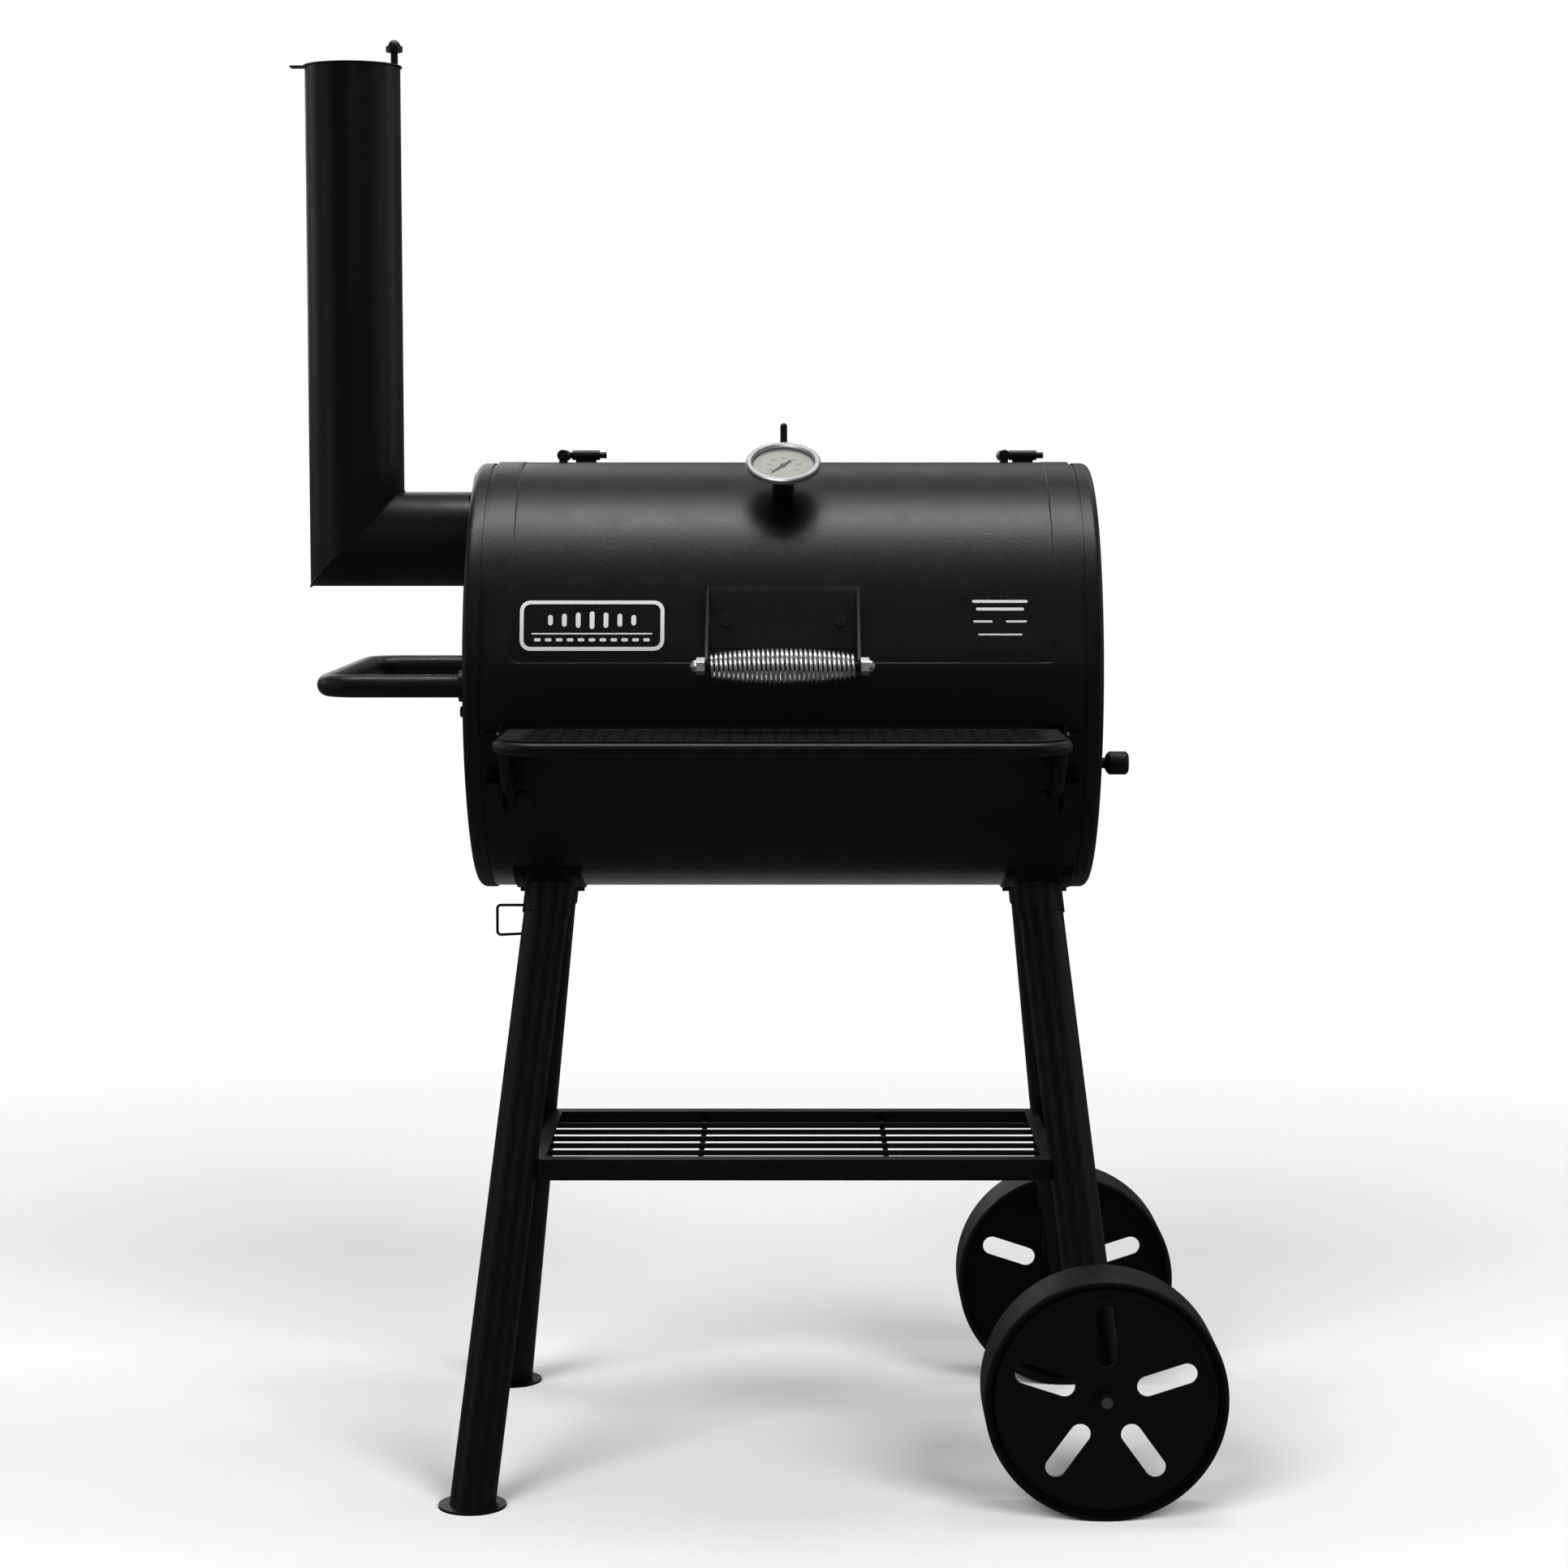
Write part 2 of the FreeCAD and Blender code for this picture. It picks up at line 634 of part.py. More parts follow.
def handle_ear(name, x):
    """One upright ear: a plate from the base out to the eye that holds the rod."""
    low = on_barrel(dims["handle_bottom"], value(PANEL_RADIUS))
    high = on_barrel(dims["handle_top"], value(PANEL_RADIUS))
    eye = Vector(0, -dims["handle_reach"], axis_z + dims["handle_rise"])
    radius = dims["ear_radius"]
    toward = (high - eye).normalize()
    side = Vector(0, -toward.z, toward.y)
    top = eye + side * radius
    bottom = eye + Vector(0, 0, -radius)
    face = Part.Wire(
        [
            Part.LineSegment(high, top).toShape(),
            Part.Arc(top, eye + Vector(0, -radius, 0), bottom).toShape(),
            Part.LineSegment(bottom, low).toShape(),
            Part.LineSegment(low, high).toShape(),
        ]
    )
    ear = doc.addObject("Part::Feature", name)
    ear.Shape = Part.Face(face).extrude(Vector(dims["handle_plate"], 0, 0))
    ear.Placement = Placement(Vector(x, 0, 0), Rotation())
    return ear


def lid_handle():
    """Bent bracket on the lid, a rod through its ears, and a coil grip between them."""
    half = dims["handle_width"] / 2
    plate = dims["handle_plate"]
    left_x = middle_x - half
    right_x = middle_x + half
    base = sector(
        "bracket_base", f"{PANEL_RADIUS} + Dims.handle_plate", PANEL_RADIUS, "Dims.handle_width",
        dims["handle_bottom"], "Dims.handle_top - Dims.handle_bottom", right_x,
    )
    ears = [handle_ear("ear_left", left_x), handle_ear("ear_right", right_x - plate)]
    eye_z = axis_z + dims["handle_rise"]
    rod_start = (left_x - 10, -dims["handle_reach"], eye_z)
    rod_length = "Dims.handle_width + 20"
    tools = [
        barrel_core("bracket_trim", PANEL_RADIUS),
        rod("eye_bore", "Dims.rod_radius + Dims.seat_gap", rod_length, rod_start, "x"),
    ]
    for n, (start, heading) in enumerate(handle_screw_lines()):
        tools.append(rod(f"bracket_screw_hole_{n}", "Dims.pin_radius", 30, start, heading))
    piece("handle_bracket", cut("bracket", join("bracket_blank", base, *ears), *tools))
    piece("handle_rod", rod("grip_rod", "Dims.rod_radius", rod_length, rod_start, "x"))
    handle_grip(left_x + plate, right_x - plate, eye_z)
    nut = "Dims.rod_radius * 3.2"
    nuts = [
        acorn_nut("nut_left", nut, 9, (left_x, -dims["handle_reach"], eye_z), Vector(-1, 0, 0)),
        acorn_nut("nut_right", nut, 9, (right_x, -dims["handle_reach"], eye_z), Vector(1, 0, 0)),
    ]
    shank = rod("nut_bore", "Dims.rod_radius", rod_length, rod_start, "x")
    piece("handle_nuts", cut("acorn_nuts", group("nut_pair", *nuts), shank))
    screws = []
    for n, (start, heading) in enumerate(handle_screw_lines()):
        seat = start + heading * (
            4 * dims["sheet_wall"] - dims["panel_depth"] + dims["handle_plate"]
        )
        shank = rod(f"screw_shank_{n}", "Dims.pin_radius", (seat - start).Length, start, heading)
        head = rod(f"screw_head_{n}", "Dims.pin_radius * 1.7", 3, seat, heading)
        screws.append(join(f"screw_{n}", shank, head))
    piece("handle_screws", group("bracket_screws", *screws))


def handle_grip(left_x, right_x, eye_z):
    """The coil grip, as a sleeve with the coil's swelling outer shape."""
    gap = dims["seat_gap"]
    length = right_x - left_x - 2 * gap
    stations = 6
    swell = "(Dims.grip_radius - Dims.grip_end_radius)"
    bore = "Dims.rod_radius + Dims.seat_gap"
    corners = [(bore, 0)]
    for step in range(stations + 1):
        share = step / stations
        bulge = math.sin(math.pi * share)
        corners.append((f"Dims.grip_end_radius + {swell} * {bulge:.4f}", length * share))
    corners.append((bore, length))
    place = Placement(Vector(left_x + gap, -dims["handle_reach"], eye_z), ALONG["x"])
    piece("handle_grip", turned("grip_sleeve", corners, place))


def hinge_places():
    """The X of each hinge arm: both pins point to the right."""
    return [middle_x + side * dims["hinge_span"] / 2 for side in (-1, 1)]


def lid_hinges():
    """Round arms welded on the lid, each with a pin, in tubes on the shell."""
    hinge_y = dims["hinge_behind"]
    hinge_z = axis_z + dims["hinge_rise"]
    arm = dims["arm_radius"]
    arms = []
    tubes = []
    for n, x in enumerate(hinge_places()):
        bar = rod(f"arm_bar_{n}", "Dims.arm_radius", f"{hinge_y - 14} + Dims.arm_radius",
                  (x, 14, hinge_z - 0.5), "y")
        pin = rod(f"arm_pin_{n}", "Dims.pin_radius", "Dims.arm_radius + Dims.tube_length + 9",
                  (x, hinge_y, hinge_z), "x")
        weld = block(f"arm_weld_{n}", 8, 26, 14, (x - 4, 14, hinge_z - 14))
        arms.append(join(f"arm_{n}", bar, pin, weld))
        tube_x = x + arm + 1.5
        tube = rod(f"hinge_tube_{n}", "Dims.tube_radius", "Dims.tube_length",
                   (tube_x, hinge_y, hinge_z), "x")
        web = block(f"hinge_web_{n}", "Dims.tube_length - 8", 5, 60,
                    (tube_x + 4, hinge_y - 2.5, hinge_z - 60))
        foot = sector(f"hinge_foot_{n}", f"{SHELL_RADIUS} + 2", SHELL_RADIUS,
                      "Dims.tube_length", 102, 6, tube_x + dims["tube_length"])
        bore = rod(f"hinge_bore_{n}", PIN_BORE, "Dims.tube_length + 2",
                   (tube_x - 1, hinge_y, hinge_z), "x")
        solid = join(f"hinge_solid_{n}", tube, web, foot)
        core = barrel_core(f"hinge_core_{n}", SHELL_RADIUS)
        tubes.append(cut(f"hinge_leaf_{n}", solid, bore, core))
    trim = barrel_core("arm_trim", LID_RADIUS)
    piece("hinge_arms", cut("arm_pair", group("arm_blanks", *arms), trim))
    piece("hinge_tubes", group("tube_pair", *tubes))
    stop = rod("stop_rod", "Dims.stop_radius", "Dims.stop_height - Dims.stop_radius",
               (middle_x, hinge_y + 1.5, axis_z))
    tip = new("Part::Sphere", "stop_tip", Radius="Dims.stop_radius")
    tip.Placement = Placement(
        Vector(middle_x, hinge_y + 1.5, axis_z + dims["stop_height"] - dims["stop_radius"]), Rotation()
    )
    foot = rod("stop_foot", "2.5 * Dims.stop_radius", 60, (middle_x, hinge_y + 1.5, axis_z + 170))
    shelf = barrel_core("stop_foot_limit", f"{SHELL_RADIUS} + 3")
    core = barrel_core("stop_trim", SHELL_RADIUS)
    piece("lid_stop", cut("stop", join("stop_solid", stop, tip, common("stop_disc", foot, shelf)), core))


# ---- Thermometer ----------------------------------------------------------------------------------
def thermometer():
    """A dial on a neck bush: every piece is turned about an axis that stands out of the lid."""
    angle = dims["dial_angle"]
    up = outward_from_barrel(angle)
    place = Placement(on_barrel(angle, value(PANEL_RADIUS), middle_x), Rotation(Vector(0, 0, 1), up))
    stand = "(Dims.dial_stand + Dims.panel_depth)"
    back = f"({stand} - Dims.bezel_depth)"
    dial = f"({stand} - Dims.dial_recess)"
    neck_top = "(Dims.neck_height + Dims.panel_depth)"
    stem = "(Dims.probe_radius + Dims.seat_gap)"
    opening = "(Dims.bezel_radius - Dims.bezel_lip)"
    neck = turned(
        "neck_bush",
        [(stem, -2), ("Dims.neck_radius", -2), ("Dims.neck_radius", neck_top), (stem, neck_top)],
        place,
    )
    piece("gauge_neck", cut("neck_fitted", neck, barrel_core("neck_trim", PANEL_RADIUS)))
    nut_start = place.Base + up * value(neck_top)
    nut = hex_nut("gauge_hex", "Dims.gauge_nut", f"{back} - {neck_top}", nut_start, up)
    nut_bore = rod("gauge_nut_bore", stem, 40, nut_start, up)
    piece("gauge_nut", cut("gauge_nut_bored", nut, nut_bore))
    case = [
        ("0", "-Dims.probe_length"),
        ("Dims.probe_radius", "-Dims.probe_length"),
        ("Dims.probe_radius", back),
        ("Dims.bezel_radius - 8", back),
        ("Dims.bezel_radius - 4", f"{back} + 3"),
        ("Dims.bezel_radius - 4", f"{stand} - 3.5"),
        ("Dims.bezel_radius - 5.5", f"{stand} - 3.5"),
        ("Dims.bezel_radius - 5.5", f"{dial} - 1.4"),
        ("0", f"{dial} - 1.4"),
    ]
    piece("gauge_case", turned("case_and_probe", case, place))
    bezel = [
        (opening, f"{stand} - 2"),
        (f"{opening} + 1.5", stand),
        ("Dims.bezel_radius - 1.5", stand),
        ("Dims.bezel_radius", f"{stand} - 1.5"),
        ("Dims.bezel_radius", f"{stand} - 6"),
        ("Dims.bezel_radius - 4", f"{stand} - 6"),
        ("Dims.bezel_radius - 4", f"{stand} - 3.5"),
        (opening, f"{stand} - 3.5"),
    ]
    piece("gauge_bezel", turned("bezel_ring", bezel, place))
    face = [("0", f"{dial} - 1.4"), (opening, f"{dial} - 1.4"), (opening, dial), ("0", dial)]
    piece("gauge_dial", turned("dial_disc", face, place))
    glass = [
        ("0", f"{stand} - 4.5"),
        (f"{opening} + 1", f"{stand} - 4.5"),
        (f"{opening} + 1", f"{stand} - 3.5"),
        ("0", f"{stand} - 3.5"),
    ]
    piece("gauge_glass", turned("glass_disc", glass, place))
    needle_plane = Placement(place.Base + up * (value(dial) + 0.6), place.Rotation)
    pointer = padded(
        "pointer",
        [("-1.6", "-12"), ("1.6", "-12"), ("1.6", "-3"), ("0.5", "20"), ("-0.5", "20"), ("-1.6", "-3")],
        0.6,
        Placement(needle_plane.Base, needle_plane.Rotation * Rotation(Vector(0, 0, 1), 140)),
    )
    boss = rod("pointer_boss", 3, 0.9, needle_plane.Base, up)
    piece("gauge_needle", join("needle", pointer, boss))


# ---- Chimney --------------------------------------------------------------------------------------
stack_x = cap_left_x - dims["stack_reach"]
stack_top = duct_z + dims["stack_rise"]


def mitre_half(name, upper):
    """A block that fills one side of the mitre plane between duct and stack."""
    run = Vector(1, 0, 1).normalize()
    rise = Vector(-1, 0, 1).normalize() * (1 if upper else -1)
    turn = Rotation(run, rise.cross(run), rise, "ZXY")
    size = 8 * dims["pipe_radius"]
    corner = Vector(stack_x, 0, duct_z) - run * (size / 2) - rise.cross(run) * (size / 2)
    width = "8 * Dims.pipe_radius"
    return block(name, width, width, width, corner, turn)


def chimney():
    """A duct out of the left cap, mitred into an upright stack."""
    radius = dims["pipe_radius"]
    duct = pipe("duct_tube", "Dims.pipe_radius", "Dims.pipe_wall", "Dims.stack_reach + Dims.pipe_radius",
                (stack_x - radius, 0, duct_z), "x")
    piece("chimney_duct", cut("duct_mitred", duct, mitre_half("above_mitre", True)))
    stack = pipe("stack_tube", "Dims.pipe_radius", "Dims.pipe_wall", "Dims.stack_rise + Dims.pipe_radius",
                 (stack_x, 0, duct_z - radius))
    piece("chimney_stack", cut("stack_mitred", stack, mitre_half("below_mitre", False)))
    plate = dims["flange_plate"]
    start = (cap_left_x - plate, 0, duct_z)
    ring = rod("flange_disc", "Dims.flange_radius", "Dims.flange_plate", start, "x")
    hole = rod("flange_hole", "Dims.pipe_radius + Dims.seat_gap", "Dims.flange_plate", start, "x")
    screws = [
        rod(f"flange_screw_{n}", "Dims.bolt_radius", "Dims.flange_plate", (start[0], y, z), "x")
        for n, (y, z) in enumerate(flange_bolt_places())
    ]
    piece("chimney_flange", cut("flange_ring", ring, hole, *screws))


def chimney_damper():
    """A flat disc that swings on an upright bolt at the rim of the stack."""
    gap = dims["seat_gap"]
    radius = dims["pipe_radius"] + dims["damper_lap"]
    pivot_x = stack_x + dims["pipe_radius"] - dims["damper_inset"]
    low = stack_top + gap
    disc = rod("damper_disc", "Dims.pipe_radius + Dims.damper_lap", "Dims.damper_plate",
               (stack_x, 0, low))
    tab = block("damper_tab", 20, 18, "Dims.damper_plate",
                (stack_x - radius - 14, -9, low))
    bore = rod("damper_bore", "Dims.damper_shank + Dims.pin_gap", 10, (pivot_x, 0, low - 4))
    piece("chimney_damper", cut("damper", join("damper_plate_solid", disc, tab), bore))
    lug = block("lug_block", 24, 16, 6, (pivot_x - 9, -8, stack_top - 22))
    inside = rod("lug_limit", "Dims.pipe_radius - Dims.pipe_wall", 40, (stack_x, 0, stack_top - 40))
    shank = rod("damper_bolt", "Dims.damper_shank", "Dims.damper_stand + 22",
                (pivot_x, 0, stack_top - 22))
    nut = acorn_nut("damper_acorn", 16, 6.7, (pivot_x, 0, stack_top + dims["damper_stand"]), "z")
    piece("damper_post", join("damper_post_solid", common("lug", lug, inside), shank, nut))


# ---- Left end: side handle --------------------------------------------------------------------------
def side_handle():
    """A wide U tube lying level, its ends in round flanges on the left cap."""
    half = dims["bar_half_span"]
    out_x = cap_left_x - dims["bar_reach"]
    path = [(cap_left_x, -half, axis_z), (out_x, -half, axis_z), (out_x, half, axis_z),
            (cap_left_x, half, axis_z)]
    outside = bent("bar_outside", "Dims.bar_radius", path, dims["bar_bend"])
    bore = bent("bar_bore", "Dims.bar_radius - Dims.bar_wall", path, dims["bar_bend"])
    piece("side_handle", cut("bar_tube", outside, bore))
    rings = []
    for side in (-1, 1):
        start = (cap_left_x - 5, side * half, axis_z)
        name = f"bar_flange_{side + 1}"
        rings.append(pipe(name, "Dims.bar_radius + 4.5", "4.5 - Dims.seat_gap", 5, start, "x"))
    piece("side_handle_flanges", group("bar_flanges", *rings))


# ---- Right end: air damper --------------------------------------------------------------------------
inlet_z = axis_z - dims["inlet_drop"]


def air_damper():
    """A disc with four holes that turns over four holes in the right cap, with a knob."""
    face_x = cap_right_x + dims["seat_gap"]
    plate = 1.8
    disc = rod("inlet_disc", "Dims.inlet_radius", plate, (0, 0, 0))
    bore = rod("inlet_disc_bore", PIN_BORE, plate, (0, 0, 0))
    turning = cut("inlet_damper", disc, bore, *air_holes("disc_air", 0, 0, -5))
    turning.Placement = Placement(Vector(face_x, 0, inlet_z), ALONG["x"])
    piece("air_damper", turning)
    neck_end = f"Dims.knob_neck - Dims.seat_gap - {plate}"
    knob = [
        (PIN_BORE, 0),
        ("8", 0),
        ("6", 4),
        ("6", f"{neck_end} - 2"),
        ("Dims.knob_radius - 3", neck_end),
        ("Dims.knob_radius", f"{neck_end} + 3"),
        ("Dims.knob_radius", f"{neck_end} + Dims.knob_length - 3"),
        ("Dims.knob_radius - 3", f"{neck_end} + Dims.knob_length"),
        ("0", f"{neck_end} + Dims.knob_length"),
        ("0", neck_end),
        (PIN_BORE, neck_end),
    ]
    knob_place = Placement(Vector(face_x + plate, 0, inlet_z), ALONG["x"])
    piece("air_damper_knob", turned("knob", knob, knob_place))
    inner_x = cap_right_x - dims["cap_wall"]
    head = rod("pivot_head", "2 * Dims.pin_radius", 4, (inner_x - 4, 0, inlet_z), "x")
    shank = rod("pivot_shank", "Dims.pin_radius", "4 + Dims.cap_wall + Dims.knob_neck - 2",
                (inner_x - 4, 0, inlet_z), "x")
    piece("air_damper_pivot", join("inlet_pivot", head, shank))


# ---- Front shelf ----------------------------------------------------------------------------------
rail_z = axis_z - dims["shelf_drop"]
MESH_BACK = -238  # back edge of the mesh, just clear of the barrel
ARM_BOLT_Y = -247
STRUT_BOLT = (-233, axis_z - 116.5)


def shelf_arm_x(side):
    """The X of one side arm of the rail."""
    return middle_x + side * dims["shelf_half_width"]


def shelf_rail():
    """One bent tube: two side arms and the front bar."""
    front = -dims["shelf_front"]
    path = [(shelf_arm_x(-1), MESH_BACK, rail_z), (shelf_arm_x(-1), front, rail_z),
            (shelf_arm_x(1), front, rail_z), (shelf_arm_x(1), MESH_BACK, rail_z)]
    tube = bent("rail_outside", "Dims.rail_radius", path, dims["rail_bend"])
    holes = [
        rod(f"rail_hole_{side + 1}", "Dims.bolt_radius", "4 * Dims.rail_radius",
            (shelf_arm_x(side) - 2 * dims["rail_radius"], ARM_BOLT_Y, rail_z), "x")
        for side in (-1, 1)
    ]
    piece("shelf_rail", cut("rail_drilled", tube, *holes))


def shelf_mesh():
    """Expanded metal on the rail: one sheet pierced by rows of diamonds."""
    half = dims["shelf_half_width"]
    front = -dims["shelf_front"]
    bend = dims["rail_bend"]
    z = rail_z + dims["rail_radius"]
    left = middle_x - half
    right = middle_x + half
    lean = bend * (1 - math.sqrt(0.5))
    rim = Part.Wire(
        [
            Part.LineSegment(Vector(left, MESH_BACK, z), Vector(left, front + bend, z)).toShape(),
            Part.Arc(Vector(left, front + bend, z), Vector(left + lean, front + lean, z),
                     Vector(left + bend, front, z)).toShape(),
            Part.LineSegment(Vector(left + bend, front, z), Vector(right - bend, front, z)).toShape(),
            Part.Arc(Vector(right - bend, front, z), Vector(right - lean, front + lean, z),
                     Vector(right, front + bend, z)).toShape(),
            Part.LineSegment(Vector(right, front + bend, z), Vector(right, MESH_BACK, z)).toShape(),
            Part.LineSegment(Vector(right, MESH_BACK, z), Vector(left, MESH_BACK, z)).toShape(),
        ]
    )
    pitch = dims["mesh_pitch"]
    row = dims["mesh_row"]
    long_half = pitch / 2 - dims["mesh_strand"] * 0.9
    short_half = row / 2 - dims["mesh_strand"] / 2
    inside = Part.Face(rim.makeOffset2D(-3))
    holes = []
    rows = int((abs(front) - abs(MESH_BACK)) / (row / 2))
    columns = int(2 * half / pitch) + 2
    for line in range(1, rows):
        y = MESH_BACK - line * row / 2
        for step in range(columns):
            x = left + (step + (0.5 if line % 2 else 0)) * pitch
            tips = [Vector(x - long_half, y, z), Vector(x, y - short_half, z),
                    Vector(x + long_half, y, z), Vector(x, y + short_half, z)]
            if all(inside.isInside(tip, 0.01, True) for tip in tips):
                holes.append(Part.makePolygon(tips + tips[:1]))
    face = Part.makeFace([rim] + holes, "Part::FaceMakerBullseye")
    mesh = doc.addObject("Part::Feature", "mesh_sheet")
    mesh.Shape = face.extrude(Vector(0, 0, dims["shelf_mesh"]))
    mesh.Placement = Placement()
    piece("shelf_mesh", mesh)


def shelf_struts():
    """A sloping tube from each side arm back to the foot of its bracket."""
    struts = []
    for side in (-1, 1):
        x = shelf_arm_x(side)
        low = Vector(x, *STRUT_BOLT)
        high = Vector(x, -330, rail_z)
        heading = (high - low).normalize()
        start = low - heading * 14
        tube = rod(f"strut_tube_{side + 1}", "Dims.rail_radius", (high - start).Length, start, heading)
        hole = rod(f"strut_hole_{side + 1}", "Dims.bolt_radius", "4 * Dims.rail_radius",
                   (x - 2 * dims["rail_radius"], *STRUT_BOLT), "x")
        arm = rod(f"strut_trim_{side + 1}", "Dims.rail_radius", 300, (x, -400, rail_z), "y")
        struts.append(cut(f"strut_{side + 1}", tube, hole, arm))
    piece("shelf_struts", group("strut_pair", *struts))


def shelf_bracket(label, side):
    """A curved base on the shell with an upright flange and two ledges for hooks."""
    plate = 2
    face_x = shelf_arm_x(side) + side * dims["rail_radius"]
    outer_x = face_x + side * plate
    inner_x = outer_x - side * 31
    right_x = max(inner_x, outer_x)
    base = sector(f"{label}_base", f"{SHELL_RADIUS} + {plate}", SHELL_RADIUS, 31, -35, 25.3, right_x)
    top = rail_z + 12
    low = axis_z - 133
    profile = [(190, top), (262, top), (262, rail_z - 14), (246, low + 8), (236, low), (190, low)]
    turn = Rotation(Vector(0, -1, 0), Vector(0, 0, 1), Vector(-1, 0, 0), "ZXY")
    flange = padded(f"{label}_flange", profile, plate,
                    Placement(Vector(max(face_x, outer_x), 0, 0), turn))
    tab_x = outer_x if side > 0 else outer_x - 18
    tabs = [
        block(f"{label}_tab_{n}", 18, 32, plate, (tab_x, y, z))
        for n, (y, z) in enumerate([(-239, rail_z + 1), (-236, axis_z - 102)])
    ]
    tools = [barrel_core(f"{label}_core", SHELL_RADIUS)]
    for n, (angle, x) in enumerate(bracket_screw_places()):
        start = on_barrel(angle, shell_radius - 5, x)
        tools.append(rod(f"{label}_screw_{n}", "Dims.bolt_radius", 20, start, outward_from_barrel(angle)))
    for n, (y, z) in enumerate([(ARM_BOLT_Y, rail_z), STRUT_BOLT]):
        tools.append(rod(f"{label}_bolt_{n}", "Dims.bolt_radius", 20, (face_x - 10, y, z), "x"))
    piece(label, cut(f"{label}_drilled", join(f"{label}_blank", base, flange, *tabs), *tools))


def shelf_fasteners():
    """The screws of both brackets and the bolts that hold rail and struts to them."""
    fasteners = []
    for n, (angle, x) in enumerate(bracket_screw_places()):
        heading = outward_from_barrel(angle)
        start = on_barrel(angle, shell_radius - dims["sheet_wall"] - 4, x)
        seat = on_barrel(angle, shell_radius + 2, x)
        shank = rod(f"bracket_shank_{n}", "Dims.bolt_radius", (seat - start).Length, start, heading)
        head = rod(f"bracket_head_{n}", "2 * Dims.bolt_radius", 2.5, seat, heading)
        fasteners.append(join(f"bracket_screw_{n}", shank, head))
    for side in (-1, 1):
        seat_x = shelf_arm_x(side) + side * (dims["rail_radius"] + 2)
        for n, (y, z) in enumerate([(ARM_BOLT_Y, rail_z), STRUT_BOLT]):
            name = f"shelf_bolt_{side + 1}_{n}"
            grip = 2 * dims["rail_radius"] + 2
            fasteners.append(bolt(name, (seat_x, y, z), (side, 0, 0), grip))
    piece("shelf_fasteners", group("shelf_fastener_set", *fasteners))


# ---- Stand ----------------------------------------------------------------------------------------
LEGS = {
    "front_left": (-1, -1),
    "front_right": (1, -1),
    "rear_left": (-1, 1),
    "rear_right": (1, 1),
}
axle_z = dims["wheel_radius"]


def on_leg(side, way, z):
    """The point of a leg's axis at a height."""
    share = z / (axis_z - dims["leg_top_drop"])
    x = dims["foot_x"] + (dims["leg_top_x"] - dims["foot_x"]) * share
    y = dims["foot_y"] + (dims["leg_top_y"] - dims["foot_y"]) * share
    return Vector(side * x, way * y, z)


def wheel_face():
    """How far the outer face of a wheel is from the stand middle."""
    return on_leg(1, 1, axle_z).y + dims["leg_radius"] + dims["wheel_clear"]


def along_leg(side, way):
    """The direction up a leg."""
    return (on_leg(side, way, axis_z) - on_leg(side, way, 0)).normalize()


def leg_solid(name, side, way, radius, low_z, length):
    """A round solid on a leg's axis."""
    return rod(name, radius, length, on_leg(side, way, low_z), along_leg(side, way))


def legs():
    """Splayed tubes under the barrel: the left pair down to the floor, the right pair to the axle."""
    reach = axis_z - 148.5
    for label, (side, way) in LEGS.items():
        low_z = -30 if side < 0 else axle_z - 28
        tube = cut(
            f"{label}_tube",
            leg_solid(f"{label}_outside", side, way, "Dims.leg_radius", low_z, reach),
            leg_solid(f"{label}_bore", side, way, "Dims.leg_radius - Dims.leg_wall", low_z, reach),
        )
        tools = [barrel_core(f"{label}_core", f"{SHELL_RADIUS} + Dims.socket_plate")]
        if side < 0:
            under = on_leg(side, way, 0) - Vector(100, 100, 200)
            tools.append(block(f"{label}_under", 200, 200, "200 + Dims.foot_plate", under))
        else:
            tools.append(axle_bar(f"{label}_axle_hole", "Dims.axle_radius", 600))
        piece(f"{label}_leg", cut(f"{label}_fitted", tube, *tools))


def axle_bar(name, radius, length):
    """A round solid on the axle's axis, centred on the stand."""
    x = on_leg(1, 1, axle_z).x
    return rod(name, radius, length, (x, -value(length) / 2, axle_z), "y")


def feet():
    """Discs under the left legs, each with a plug in the tube."""
    for label in ("front", "rear"):
        side, way = LEGS[f"{label}_left"]
        disc = rod(f"{label}_disc", "Dims.foot_radius", "Dims.foot_plate", on_leg(side, way, 0))
        plug = leg_solid(f"{label}_plug_bar", side, way, "Dims.leg_radius - Dims.leg_wall", -30, 60)
        under = on_leg(side, way, 0) - Vector(100, 100, 200)
        trimmed = cut(f"{label}_plug", plug, block(f"{label}_plug_under", 200, 200, 200, under))
        piece(f"{label}_foot", join(f"{label}_foot_solid", disc, trimmed))


def leg_sockets():
    """A saddle on the shell with a collar round the leg's top."""
    barrel_bottom = axis_z - shell_radius
    sockets = []
    for label, (side, way) in LEGS.items():
        front = -dims["saddle_rear"] if way < 0 else dims["saddle_front"] - 180
        sweep = "Dims.saddle_rear - Dims.saddle_front"
        right_x = side * dims["leg_top_x"] + dims["socket_width"] / 2
        saddle = sector(f"{label}_saddle", f"{SHELL_RADIUS} + Dims.socket_plate", SHELL_RADIUS,
                        "Dims.socket_width", front, sweep, right_x)
        low_z = barrel_bottom - dims["socket_length"]
        collar = cut(
            f"{label}_collar",
            leg_solid(f"{label}_collar_outside", side, way, "Dims.leg_radius + Dims.socket_wall",
                      low_z, 90),
            leg_solid(f"{label}_collar_bore", side, way, "Dims.leg_radius", low_z, 90),
        )
        blank = join(f"{label}_socket_blank", saddle,
                     cut(f"{label}_collar_fitted", collar, barrel_core(f"{label}_hold", SHELL_RADIUS)))
        holes = [
            rod(f"{label}_saddle_hole_{n}", "Dims.bolt_radius", 30,
                on_barrel(angle, shell_radius - 10, x), outward_from_barrel(angle))
            for n, (angle, x) in enumerate(saddle_bolt_places())
        ]
        sockets.append(cut(f"{label}_socket", blank, *holes))
    piece("leg_sockets", group("socket_set", *sockets))


